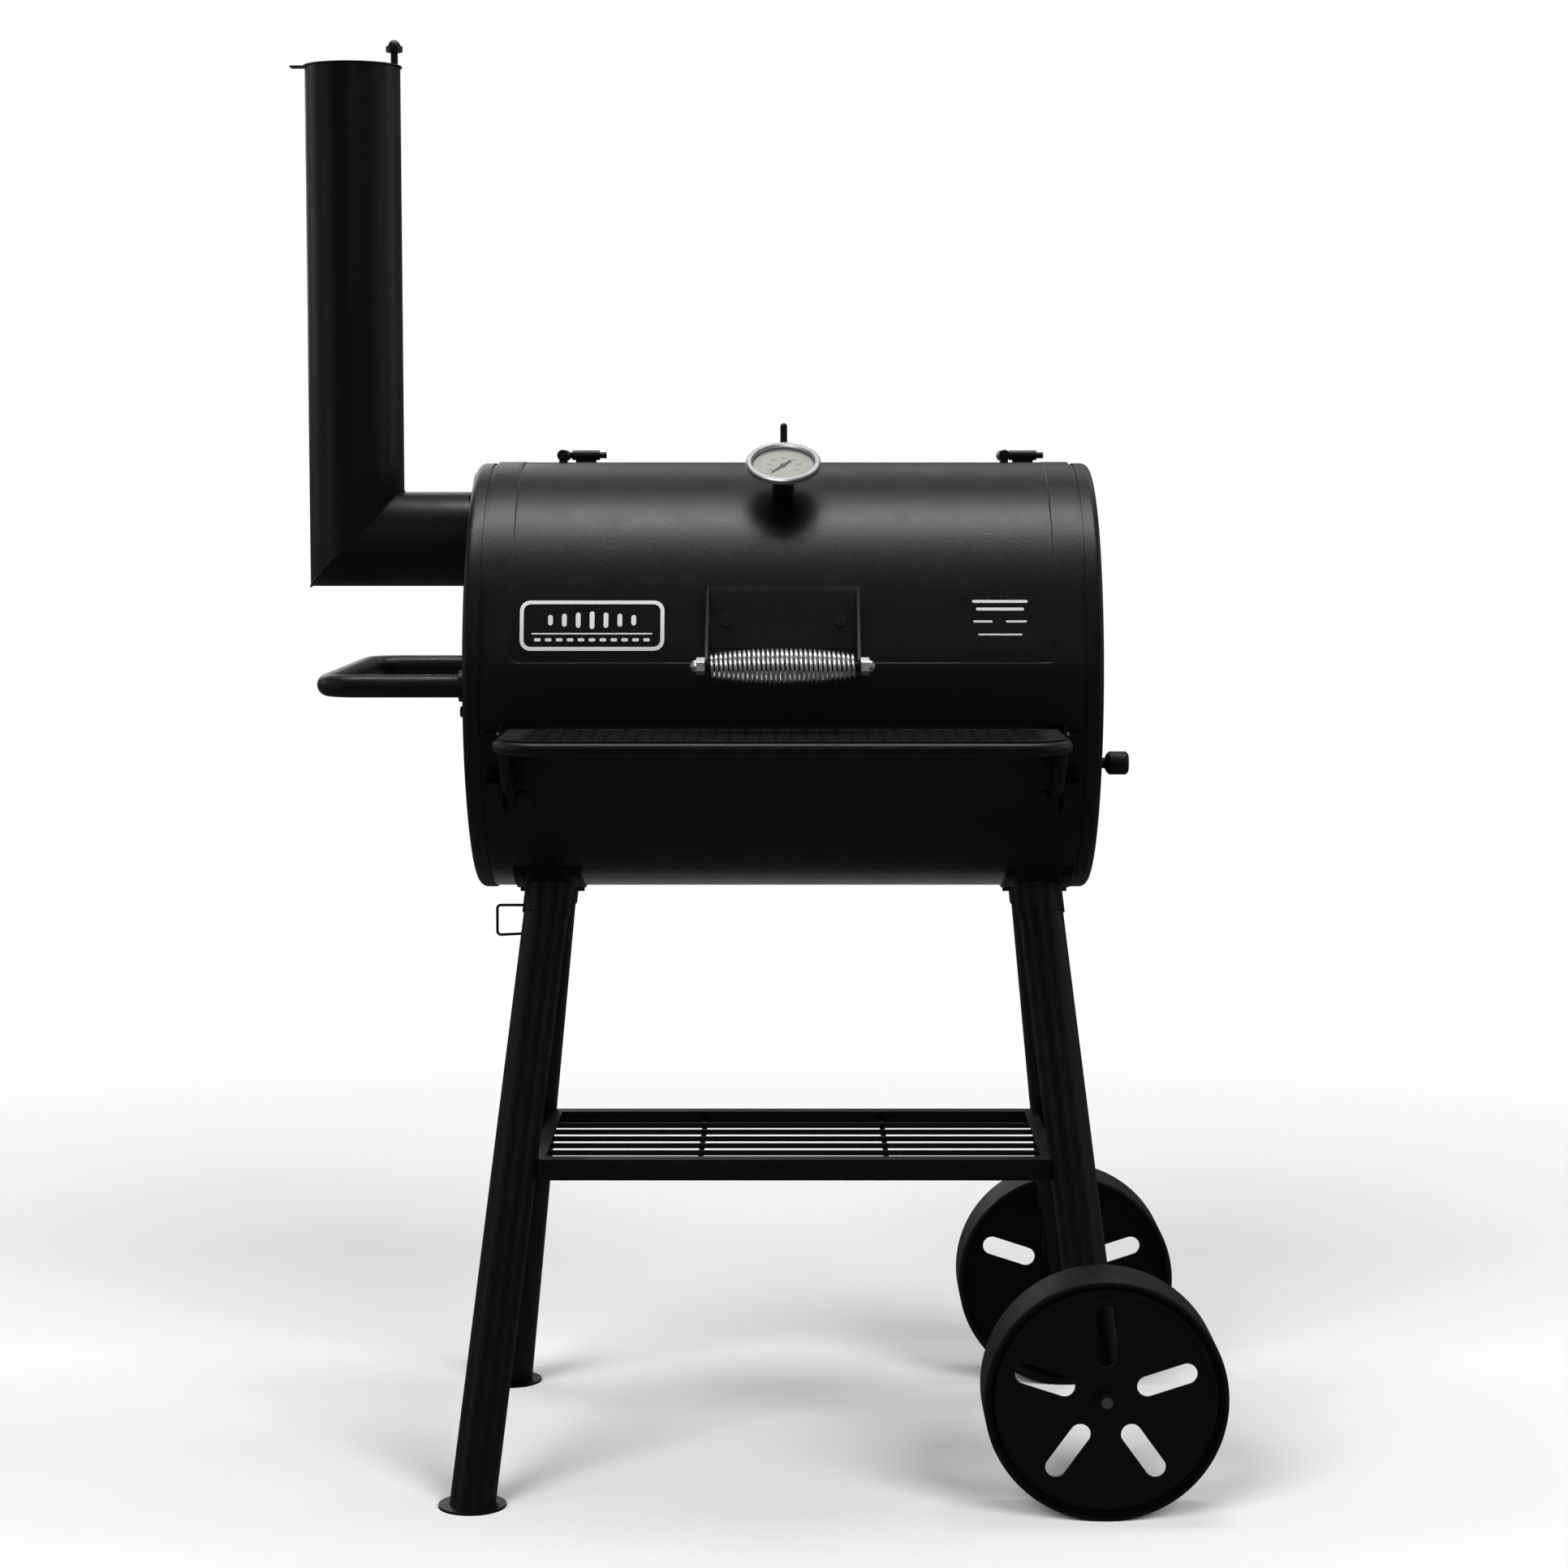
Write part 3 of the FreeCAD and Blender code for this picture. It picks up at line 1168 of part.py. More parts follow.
def socket_bolts():
    """Four bolts through each saddle and the shell."""
    grip = dims["socket_plate"] + dims["sheet_wall"] + 0.1
    bolts = [
        bolt(f"socket_bolt_{n}", on_barrel(angle, shell_radius + dims["socket_plate"], x),
             outward_from_barrel(angle), grip)
        for n, (angle, x) in enumerate(saddle_bolt_places())
    ]
    piece("socket_bolts", group("socket_bolt_set", *bolts))


def tool_hook():
    """A wire bent to a square U, its ends on the front left socket and leg."""
    high = axis_z - shell_radius - 16.3
    low = high - 33
    y = on_leg(-1, -1, high).y
    path = [(-285, y, high), (-326, y, high), (-326, y, low), (-285, y, low + 2)]
    wire = bent("hook_wire", 1.5, path, 4)
    leg = leg_solid("hook_leg_trim", -1, -1, "Dims.leg_radius", 500, 200)
    low_z = axis_z - shell_radius - dims["socket_length"]
    collar = leg_solid("hook_collar_trim", -1, -1, "Dims.leg_radius + Dims.socket_wall", low_z, 90)
    piece("tool_hook", cut("hook", wire, leg, collar))


# ---- Lower rack -----------------------------------------------------------------------------------
def leg_trims(name):
    """All four legs as cutters."""
    return [
        leg_solid(f"{name}_{label}", side, way, "Dims.leg_radius", 200, 300)
        for label, (side, way) in LEGS.items()
    ]


def rack_bar(name, start, length_x, length_y, lip_start, lip_x, lip_y):
    """An angle bar: an upright face and a flat lip at its top."""
    top = dims["rack_height"]
    face = block(f"{name}_face", length_x, length_y, "Dims.bar_face",
                 (*start, top - dims["bar_face"]))
    lip = block(f"{name}_lip", lip_x, lip_y, "Dims.bar_plate", (*lip_start, top - dims["bar_plate"]))
    return join(name, face, lip)


def lower_rack():
    """Four angle bars between the legs and a grid of rods between them."""
    level = dims["rack_height"] - dims["bar_face"] / 2
    edge = on_leg(1, 1, level)
    plate = dims["bar_plate"]
    lip = dims["bar_lip"]
    long_bars = []
    for label, way in (("front", -1), ("rear", 1)):
        face_y = way * edge.y - plate / 2
        lip_y = face_y if way < 0 else face_y + plate - lip
        long_bars.append(rack_bar(f"rack_{label}", (-edge.x, face_y), 2 * edge.x, "Dims.bar_plate",
                                  (-edge.x, lip_y), 2 * edge.x, "Dims.bar_lip"))
    piece("rack_long_bars",
          cut("rack_sides", group("rack_long_pair", *long_bars), *leg_trims("rack_long")))
    half_y = edge.y + plate / 2 - lip
    end_x = edge.x - 18
    ends = []
    for side in (-1, 1):
        face_x = side * (end_x - plate / 2) - plate / 2
        lip_x = face_x if side < 0 else face_x + plate - 15
        ends.append(rack_bar(f"rack_end_{side + 1}", (face_x, -half_y), "Dims.bar_plate", 2 * half_y,
                             (lip_x, -half_y), 15, 2 * half_y))
    piece("rack_end_bars", cut("rack_ends", group("rack_end_pair", *ends), *leg_trims("rack_end")))
    radius = dims["rack_rod"]
    rod_z = dims["rack_height"] - plate - radius - 1.5
    half_x = end_x - plate
    grid = [
        rod(f"rack_rod_{step + 2}", "Dims.rack_rod", 2 * half_x,
            (-half_x, step * dims["rack_pitch"], rod_z), "x")
        for step in range(-2, 3)
    ]
    wire_y = edge.y - plate / 2
    for side in (-1, 1):
        start = (side * dims["rack_wire_x"], -wire_y, rod_z - 2 * radius + 0.6)
        grid.append(rod(f"rack_wire_{side + 1}", "Dims.rack_rod", 2 * wire_y, start, "y"))
    piece("rack_grid", join("rack_rods", *grid))


# ---- Axle and wheels ------------------------------------------------------------------------------
def axle():
    """A round axle through the right legs, with a collar behind each wheel and a nut outside."""
    hub_end = wheel_face() - dims["disc_set"] - dims["hub_length"]
    disc_y = wheel_face() - dims["disc_set"]
    washer = 2
    bar = axle_bar("axle_rod", "Dims.axle_radius", 2 * (disc_y + 13))
    collar_end = hub_end - dims["seat_gap"] - 0.1
    sleeve = axle_bar("axle_sleeve", "Dims.axle_radius + 4", 2 * collar_end)
    gap = axle_bar("axle_sleeve_gap", "Dims.axle_radius + 5", 2 * on_leg(1, 1, axle_z).y)
    collars = cut("axle_collars", sleeve, gap, *axle_leg_trims())
    piece("axle", join("axle_solid", bar, collars))
    nuts = []
    for way in (-1, 1):
        start = Vector(on_leg(1, 1, axle_z).x, way * (disc_y + dims["seat_gap"] + 0.1), axle_z)
        heading = Vector(0, way, 0)
        disc = rod(f"axle_washer_{way + 1}", "Dims.axle_nut / 2 + 3", washer, start, heading)
        nut = hex_nut(f"axle_hex_{way + 1}", "Dims.axle_nut", 8, start + heading * washer, heading)
        hole = rod(f"axle_nut_hole_{way + 1}", "Dims.axle_radius", 30, start, heading)
        nuts.append(cut(f"axle_nut_{way + 1}", join(f"axle_nut_blank_{way + 1}", disc, nut), hole))
    piece("axle_nuts", group("axle_nut_pair", *nuts))


def axle_leg_trims():
    """The right legs as cutters for the axle's collars."""
    return [
        leg_solid(f"axle_trim_{way + 1}", 1, way, "Dims.leg_radius", axle_z - 60, 120)
        for way in (-1, 1)
    ]


def wheel(label, way):
    """A pressed wheel: a wide rim, a slotted disc behind its outer face and a hub."""
    place = Placement(
        Vector(on_leg(1, 1, axle_z).x, way * wheel_face(), axle_z),
        Rotation(Vector(way, 0, 0), Vector(0, 0, 1), Vector(0, -way, 0), "ZXY"),
    )
    rim = "(Dims.wheel_radius - Dims.wheel_wall)"
    disc_back = "Dims.disc_set + Dims.disc_plate"
    outline_points = [
        (AXLE_BORE, "Dims.disc_set"),
        (f"{rim} - 14", "Dims.disc_set"),
        (f"{rim} - 12.5", "Dims.disc_set - 3"),
        (f"{rim} - 5.5", "Dims.disc_set - 3"),
        (f"{rim} - 4", "Dims.disc_set"),
        (rim, "Dims.disc_set"),
        (rim, 0),
        ("Dims.wheel_radius - 2", 0),
        ("Dims.wheel_radius", 2),
        ("Dims.wheel_radius", "Dims.wheel_width - 2"),
        ("Dims.wheel_radius - 2", "Dims.wheel_width"),
        (rim, "Dims.wheel_width"),
        (rim, disc_back),
        ("Dims.hub_radius", disc_back),
        ("Dims.hub_radius", "Dims.disc_set + Dims.hub_length"),
        (AXLE_BORE, "Dims.disc_set + Dims.hub_length"),
    ]
    pressed = turned(f"{label}_pressed", outline_points)
    half = dims["slot_width"] / 2
    near = dims["slot_inner"] + half
    far = dims["slot_outer"] - half
    slots = []
    for step in range(5):
        turn = Rotation(Vector(0, 0, 1), 72 * step)
        corner = turn.multVec(Vector(-half, near, 0))
        name = f"{label}_slot_{step}"
        slots.append(block(f"{name}_run", "Dims.slot_width", far - near, 30, corner, turn))
        slots.append(rod(f"{name}_near", "Dims.slot_width / 2", 30, turn.multVec(Vector(0, near, 0))))
        slots.append(rod(f"{name}_far", "Dims.slot_width / 2", 30, turn.multVec(Vector(0, far, 0))))
    solid = cut(f"{label}_slotted", pressed, *slots)
    solid.Placement = place
    piece(label, solid)


# ---- Inside the barrel ----------------------------------------------------------------------------
grate_z = axis_z - dims["grate_drop"]


def grate_ledges():
    """A strip along each side of the shell that the grates lie on."""
    length = dims["barrel_length"] - 2 * dims["cap_skirt"] - 4
    strips = []
    for way in (-1, 1):
        edge = shell_radius - dims["sheet_wall"]
        y = -edge - 2 if way < 0 else edge - dims["ledge_width"]
        strip = block(f"ledge_strip_{way + 1}", length, "Dims.ledge_width + 2", 2,
                      (middle_x - length / 2, y, grate_z - 2))
        strips.append(common(f"ledge_{way + 1}", strip, barrel_core(f"ledge_bore_{way + 1}", SHELL_BORE)))
    piece("grate_ledges", group("ledge_pair", *strips))


def cooking_grate(label, side):
    """A cast grate over half of the barrel: a frame, bars front to back and a cross bar."""
    length = (dims["barrel_length"] - 2 * dims["cap_skirt"] - 20) / 2
    depth = 2 * (shell_radius - dims["sheet_wall"] - 5)
    left = middle_x + 2 if side > 0 else middle_x - 2 - length
    frame = 10
    plate = block(f"{label}_plate", length, depth, "Dims.grate_plate", (left, -depth / 2, grate_z))
    gap = dims["grate_pitch"] - dims["grate_bar"]
    count = int((length - 2 * frame + dims["grate_bar"]) / dims["grate_pitch"])
    margin = (length - count * dims["grate_pitch"] + dims["grate_bar"]) / 2
    slots = []
    for step in range(count):
        x = left + margin + step * dims["grate_pitch"]
        for y in (-depth / 2 + 14, 5):
            corner = (x, y, grate_z - 1)
            slots.append(block(f"{label}_slot_{len(slots)}", gap, depth / 2 - 19,
                               "Dims.grate_plate + 2", corner))
    piece(label, cut(f"{label}_cast", plate, *slots))


def warming_rack():
    """Wires along the barrel between the caps, over the rear half of the grates."""
    inside = dims["barrel_length"] - 2 * dims["cap_wall"]
    z = axis_z + dims["warming_rise"]
    wires = [
        rod(f"warming_wire_{step}", "Dims.rack_rod", inside, (middle_x - inside / 2, 10 + 30 * step, z), "x")
        for step in range(7)
    ]
    for step in range(-1, 2):
        start = (middle_x + step * 270, 10, z - 2 * dims["rack_rod"] + 0.6)
        wires.append(rod(f"warming_cross_{step + 1}", "Dims.rack_rod", 180, start, "y"))
    piece("warming_rack", join("warming_wires", *wires))


tray_z = axis_z - dims["tray_drop"]
TRAY_LENGTH = 560
TRAY_DEPTH = 40


def charcoal_tray():
    """An open pan that can be set higher or lower under the grates."""
    half_y = dims["tray_width"] / 2
    outside = block("tray_outside", TRAY_LENGTH, "Dims.tray_width", TRAY_DEPTH,
                    (middle_x - TRAY_LENGTH / 2, -half_y, tray_z))
    inside = block("tray_inside", TRAY_LENGTH - 4, "Dims.tray_width - 4", TRAY_DEPTH,
                   (middle_x - TRAY_LENGTH / 2 + 2, -half_y + 2, tray_z + 2))
    piece("charcoal_tray", cut("tray", outside, inside))


def tray_hangers():
    """A strap at each end, from under the ledges down to a lip below the tray."""
    half_y = shell_radius - dims["sheet_wall"] - dims["ledge_width"] + 12
    lip_z = tray_z - dims["seat_gap"] - 3
    hangers = []
    for side in (-1, 1):
        face = TRAY_LENGTH / 2 + 8
        x = middle_x + face if side > 0 else middle_x - face - 3
        lip_x = middle_x + face - 30 if side > 0 else middle_x - face
        beam = block(f"hanger_beam_{side + 1}", 3, 2 * half_y, 12, (x, -half_y, grate_z - 14))
        strap = block(f"hanger_strap_{side + 1}", 3, 60, grate_z - 14 - lip_z, (x, -30, lip_z))
        lip = block(f"hanger_lip_{side + 1}", 30, 60, 3, (lip_x, -30, lip_z))
        hangers.append(join(f"hanger_{side + 1}", beam, strap, lip))
    piece("tray_hangers", group("hanger_pair", *hangers))


# ---- Build ----------------------------------------------------------------------------------------
barrel_shell()
end_caps()
left_cap_bolts()
lid_shell()
lid_plates()
lid_handle()
lid_hinges()
thermometer()
chimney()
chimney_damper()
side_handle()
air_damper()
shelf_rail()
shelf_mesh()
shelf_struts()
shelf_bracket("left_shelf_bracket", -1)
shelf_bracket("right_shelf_bracket", 1)
shelf_fasteners()
legs()
feet()
leg_sockets()
socket_bolts()
tool_hook()
lower_rack()
axle()
wheel("front_wheel", -1)
wheel("rear_wheel", 1)
grate_ledges()
cooking_grate("left_cooking_grate", -1)
cooking_grate("right_cooking_grate", 1)
warming_rack()
charcoal_tray()
tray_hangers()
doc.recompute()

# The origin goes to the floor under the middle of the whole object.
whole = FreeCAD.BoundBox()
for thing in pieces:
    whole.add(thing.Shape.optimalBoundingBox(False))
to_origin = Vector(-whole.Center.x, -whole.Center.y, -whole.ZMin)
for thing in pieces:
    place = thing.Placement
    thing.Placement = Placement(place.Base + to_origin, place.Rotation)
doc.recompute()
print("moved to the origin by", [round(part, 4) for part in to_origin])
print("size", [round(part, 2) for part in (whole.XLength, whole.YLength, whole.ZLength)])

for thing in doc.Objects:
    if "Invalid" in thing.State or "Error" in thing.State:
        raise SystemExit(f"{thing.Name} did not recompute")
for thing in pieces:
    if thing.Shape.isNull() or not thing.Shape.isValid():
        raise SystemExit(f"{thing.Label} has no valid shape")

os.makedirs("parts", exist_ok=True)
for thing in pieces:
    thing.Shape.exportStep(f"parts/{thing.Label}.step")
print(len(pieces), "sub-parts")
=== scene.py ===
import math
import bmesh
import bpy
from mathutils import Matrix, Vector


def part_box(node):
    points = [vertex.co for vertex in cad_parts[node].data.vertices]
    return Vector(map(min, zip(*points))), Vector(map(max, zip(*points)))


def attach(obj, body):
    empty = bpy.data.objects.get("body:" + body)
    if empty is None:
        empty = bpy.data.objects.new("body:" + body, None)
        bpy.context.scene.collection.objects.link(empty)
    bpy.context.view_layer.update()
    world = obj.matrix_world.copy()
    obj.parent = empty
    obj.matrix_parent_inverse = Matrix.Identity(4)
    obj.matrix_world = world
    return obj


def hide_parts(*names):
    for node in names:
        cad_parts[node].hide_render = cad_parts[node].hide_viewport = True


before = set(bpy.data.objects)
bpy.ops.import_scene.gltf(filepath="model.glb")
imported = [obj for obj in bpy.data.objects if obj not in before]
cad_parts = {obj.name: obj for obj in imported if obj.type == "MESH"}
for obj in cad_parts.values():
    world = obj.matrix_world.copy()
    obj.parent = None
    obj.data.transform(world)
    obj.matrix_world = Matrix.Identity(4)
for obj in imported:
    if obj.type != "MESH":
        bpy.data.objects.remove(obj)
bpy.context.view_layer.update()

mm = 0.001

# ---- Camera ----
# A long lens at chest height in front of the middle of the stand, tipped a little down.
socket_low, socket_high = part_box("leg_sockets")
stand_middle = (socket_low + socket_high) / 2
camera = bpy.data.objects.new("camera", bpy.data.cameras.new("camera"))
bpy.context.scene.collection.objects.link(camera)
camera_distance = 3.7553
camera_height = 1.081
camera_tilt = math.radians(5.008)
camera.location = (stand_middle.x, stand_middle.y - camera_distance, camera_height)
camera.rotation_euler = (math.radians(90) - camera_tilt, 0, 0)
camera.data.lens = 77.52
camera.data.sensor_width = 36
camera.data.shift_x = -0.00606
camera.data.shift_y = -0.00285
bpy.context.scene.camera = camera

# ---- Floor and studio light ----
# A white floor that fades into a white room. One soft box hangs over the barrel and tall strips stand
# at both sides. A wide box high behind, which misses the floor, gives round tops their bright rim.
bpy.context.scene.view_settings.view_transform = "Standard"
floor_mesh = bmesh.new()
bmesh.ops.create_circle(floor_mesh, cap_ends=True, segments=64, radius=60)
floor_data = bpy.data.meshes.new("floor")
floor_mesh.to_mesh(floor_data)
floor_mesh.free()
floor = bpy.data.objects.new("floor", floor_data)
bpy.context.scene.collection.objects.link(floor)
floor_paper = bpy.data.materials.new("white floor paper")
floor_paper.use_nodes = True
nodes, links = floor_paper.node_tree.nodes, floor_paper.node_tree.links
nodes.clear()
floor_out = nodes.new("ShaderNodeOutputMaterial")
floor_matt = nodes.new("ShaderNodeBsdfDiffuse")
floor_matt.inputs["Color"].default_value = (0.9, 0.9, 0.9, 1)
floor_glow = nodes.new("ShaderNodeEmission")
floor_place = nodes.new("ShaderNodeTexCoord")
floor_reach = nodes.new("ShaderNodeVectorMath")
floor_reach.operation = "LENGTH"
floor_fade = nodes.new("ShaderNodeMapRange")
floor_fade.interpolation_type = "SMOOTHSTEP"
floor_fade.inputs["From Min"].default_value = 1.0
floor_fade.inputs["From Max"].default_value = 3.0
floor_blend = nodes.new("ShaderNodeMixShader")
links.new(floor_place.outputs["Object"], floor_reach.inputs[0])
links.new(floor_reach.outputs["Value"], floor_fade.inputs["Value"])
links.new(floor_fade.outputs["Result"], floor_blend.inputs["Fac"])
links.new(floor_matt.outputs["BSDF"], floor_blend.inputs[1])
links.new(floor_glow.outputs["Emission"], floor_blend.inputs[2])
links.new(floor_blend.outputs["Shader"], floor_out.inputs["Surface"])
floor_data.materials.append(floor_paper)
floor.visible_glossy = False
floor.visible_diffuse = False

room = bpy.data.worlds.new("white room")
bpy.context.scene.world = room
room.use_nodes = True
nodes, links = room.node_tree.nodes, room.node_tree.links
nodes.clear()
room_out = nodes.new("ShaderNodeOutputWorld")
room_light = nodes.new("ShaderNodeBackground")
room_light.inputs["Color"].default_value = (1, 1, 1, 1)
room_light.inputs["Strength"].default_value = 0.07
room_white = nodes.new("ShaderNodeBackground")
room_white.inputs["Color"].default_value = (1, 1, 1, 1)
room_blend = nodes.new("ShaderNodeMixShader")
room_rays = nodes.new("ShaderNodeLightPath")
links.new(room_rays.outputs["Is Camera Ray"], room_blend.inputs["Fac"])
links.new(room_light.outputs["Background"], room_blend.inputs[1])
links.new(room_white.outputs["Background"], room_blend.inputs[2])
links.new(room_blend.outputs["Shader"], room_out.inputs["Surface"])


def lit_only(lamp, *things):
    """Links a lamp to a few things: it lights only those, or misses those that are marked EXCLUDE."""
    group = bpy.data.collections.new(lamp.name + " reaches")
    lamp.light_linking.receiver_collection = group
    for thing in things:
        group.objects.link(thing)
    return group


def soft_box(name, place, aim, width, height, power):
    """An area light at a place, turned to face a point."""
    light = bpy.data.lights.new(name, "AREA")
    light.shape = "RECTANGLE"
    light.size = width
    light.size_y = height
    light.energy = power
    box = bpy.data.objects.new(name, light)
    bpy.context.scene.collection.objects.link(box)
    box.location = place
    box.rotation_euler = (Vector(aim) - Vector(place)).to_track_quat("-Z", "Y").to_euler()
    box.visible_camera = False
    return box


soft_box("overhead box", (0.05, 0.1, 3.1), (0.05, 0.05, 0.9), 2.6, 0.42, 36)
soft_box("left strip", (-2.4, -0.9, 1.2), (0, 0, 0.8), 0.3, 2.2, 1.6)
soft_box("right strip", (2.4, -0.9, 1.2), (0, 0, 0.8), 0.3, 2.2, 1.6)
soft_box("front fill", (0.3, -4.5, 2.6), (0, 0, 0.7), 2.0, 1.2, 3)
for lamp in (soft_box("wall behind", (0, 3.4, 3.2), (0, 0, 0.9), 6.0, 1.3, 20),
             soft_box("rear box", (-1.4, 3.2, 2.0), (0, 0, 0.8), 1.8, 1.4, 16),
             soft_box("right side box", (3.4, 1.2, 1.9), (0, 0, 0.8), 1.4, 1.4, 4),
             soft_box("left side box", (-3.4, 1.2, 1.9), (0, 0, 0.8), 1.4, 1.4, 4)):
    lit_only(lamp, floor).collection_objects[0].light_linking.link_state = "EXCLUDE"
for side, name in ((-1, "left floor lamp"), (1, "right floor lamp")):
    lamp = bpy.data.objects.new(name, bpy.data.lights.new(name, "SUN"))
    bpy.context.scene.collection.objects.link(lamp)
    lamp.data.energy = 2.1
    lamp.data.angle = math.radians(30)
    lamp.rotation_euler = (math.radians(57), 0, math.radians(side * 30))
    lit_only(lamp, floor)
bounce = lit_only(soft_box("floor bounce", (0, 1.1, 0.05), (0, -0.05, 0.64), 1.8, 0.5, 1.1))
sparkle = lit_only(soft_box("box for bright parts", (-0.8, -2.6, 2.6), (0, -0.3, 0.9), 1.4, 1.0, 55))

# ---- Barrel ----
# The shell is 2 mm steel sheet rolled to a tube, with an opening for the lid and holes for its bolts.
# It is sprayed inside and out with satin black stove paint, and both end caps slip over it.


def satin_black(name, low=0.36, high=0.42, tone=0.009, grain=0.3, tint=(1, 1, 1.02)):
    """Sprayed black: faint cloudy tone, uneven gloss and a fine orange peel."""
    paint = bpy.data.materials.new(name)
    paint.use_nodes = True
    nodes, links = paint.node_tree.nodes, paint.node_tree.links
    shader = nodes["Principled BSDF"]
    shader.inputs["IOR"].default_value = 1.5
    place = nodes.new("ShaderNodeTexCoord")
    cloud = nodes.new("ShaderNodeTexNoise")
    cloud.inputs["Scale"].default_value = 7
    cloud.inputs["Detail"].default_value = 5
    links.new(place.outputs["Object"], cloud.inputs["Vector"])
    shade = nodes.new("ShaderNodeValToRGB")
    for stop, position, level in zip(shade.color_ramp.elements, (0.3, 0.75), (0.82, 1.2)):
        stop.position = position
        stop.color = (*(tone * level * part for part in tint), 1)
    links.new(cloud.outputs["Fac"], shade.inputs["Fac"])
    links.new(shade.outputs["Color"], shader.inputs["Base Color"])
    streak = nodes.new("ShaderNodeTexNoise")
    streak.inputs["Scale"].default_value = 38
    streak.inputs["Detail"].default_value = 6
    links.new(place.outputs["Object"], streak.inputs["Vector"])
    gloss = nodes.new("ShaderNodeMapRange")
    gloss.inputs["From Min"].default_value = 0.3
    gloss.inputs["From Max"].default_value = 0.7
    gloss.inputs["To Min"].default_value = low
    gloss.inputs["To Max"].default_value = high
    links.new(streak.outputs["Fac"], gloss.inputs["Value"])
    links.new(gloss.outputs["Result"], shader.inputs["Roughness"])
    peel = nodes.new("ShaderNodeTexNoise")
    peel.inputs["Scale"].default_value = 480
    peel.inputs["Detail"].default_value = 2
    links.new(place.outputs["Object"], peel.inputs["Vector"])
    bump = nodes.new("ShaderNodeBump")
    bump.inputs["Strength"].default_value = grain
    bump.inputs["Distance"].default_value = 0.0005
    links.new(peel.outputs["Fac"], bump.inputs["Height"])
    links.new(bump.outputs["Normal"], shader.inputs["Normal"])
    return paint


def finished_piece(name, bm, body, material, sharp=35):
    """Turns a bmesh into a piece that rides on a body, smooth except at its sharp edges."""
    mesh = bpy.data.meshes.new(name)
    bm.to_mesh(mesh)
    bm.free()
    mesh.polygons.foreach_set("use_smooth", [True] * len(mesh.polygons))
    mesh.set_sharp_from_angle(angle=math.radians(sharp))
    mesh.materials.append(material)
    piece = bpy.data.objects.new(name, mesh)
    bpy.context.scene.collection.objects.link(piece)
    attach(piece, body)
    return piece


def eased(piece, width, angle=40, segments=2):
    """Breaks the sharp edges of a piece, as deburring and paint do."""
    bevel = piece.modifiers.new("eased edges", "BEVEL")
    bevel.width = width
    bevel.segments = segments
    bevel.limit_method = "ANGLE"
    bevel.angle_limit = math.radians(angle)
    bevel.harden_normals = True
    return piece


def merged_copy(node):
    """A bmesh of a CAD node's shape with its loose triangles joined and flat faces cleaned."""
    bm = bmesh.new()
    bm.from_mesh(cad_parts[node].data)
    bmesh.ops.remove_doubles(bm, verts=bm.verts, dist=0.00001)
    bmesh.ops.dissolve_limit(bm, angle_limit=math.radians(0.2), verts=bm.verts, edges=bm.edges)
    return bm


def dressed(node, name, body, material, ease=0.0, sharp=35):
    """A CAD node's shape made one smooth surface with its edges broken."""
    piece = finished_piece(name, merged_copy(node), body, material, sharp)
    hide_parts(node)
    if ease:
        eased(piece, ease)
    return piece


barrel_paint = satin_black("stove paint, barrel")
bounce.objects.link(dressed("barrel_shell", "rolled_shell", "barrel_and_stand",
                            barrel_paint, 0.3 * mm))

# ---- End caps ----
# Each cap is a 1.5 mm pressing with a rounded edge and an 18 mm skirt that slips over the shell. The
# left one is cut for the chimney and the side handle, the right one has four air holes.
for node in ("end_cap_left", "end_cap_right"):
    dressed(node, node + "_pressing", "barrel_and_stand", barrel_paint, 0.3 * mm)

# ---- Lid ----
# A second rolled sheet over the opening, with a large panel pressed into it that stiffens it. It is
# painted like the barrel and turns on two hinges behind the top.
lid_paint = satin_black("stove paint, lid", 0.36, 0.41)
lid_low, lid_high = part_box("lid_shell")
cap_low, cap_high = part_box("end_cap_left")
barrel_y = (cap_low.y + cap_high.y) / 2
barrel_z = (cap_low.z + cap_high.z) / 2
lid_middle = (lid_low.x + lid_high.x) / 2
lid_radius = 236.5 * mm
lid_front = math.radians(-0.5)
lid_rear = math.radians(100)
lid_arc = (lid_rear - lid_front) * lid_radius
lid_length = lid_high.x - lid_low.x
lid_corner = 9 * mm
panel_margin = 27 * mm
roll_strips = 96


def rounded_sheet(bm, length, width, corner):
    """A flat rectangle with rounded corners about the origin. Returns its face."""
    made = bmesh.ops.create_grid(bm, x_segments=1, y_segments=1, size=0.5)
    bmesh.ops.scale(bm, vec=(length, width, 1), verts=made["verts"])
    bmesh.ops.bevel(bm, geom=made["verts"], offset=corner, offset_type="OFFSET", affect="VERTICES",
                    segments=6, profile=0.5, material=-1, clamp_overlap=True)
    return max(bm.faces, key=lambda face: face.index)


lid_sheet = bmesh.new()
rounded_sheet(lid_sheet, lid_length, lid_arc, lid_corner)
outer_rim = list(lid_sheet.edges)
bmesh.ops.delete(lid_sheet, geom=list(lid_sheet.faces), context="FACES_ONLY")
panel = bmesh.new()
rounded_sheet(panel, lid_length - 2 * panel_margin, lid_arc - 2 * panel_margin, lid_corner)
panel_data = bpy.data.meshes.new("panel")
panel.to_mesh(panel_data)
panel.free()
lid_sheet.from_mesh(panel_data)
bpy.data.meshes.remove(panel_data)
lid_sheet.faces.ensure_lookup_table()
panel_face = lid_sheet.faces[0]
bmesh.ops.triangle_fill(lid_sheet, use_beauty=True, edges=outer_rim + list(panel_face.edges))
panel_face = max(lid_sheet.faces, key=lambda face: len(face.verts))
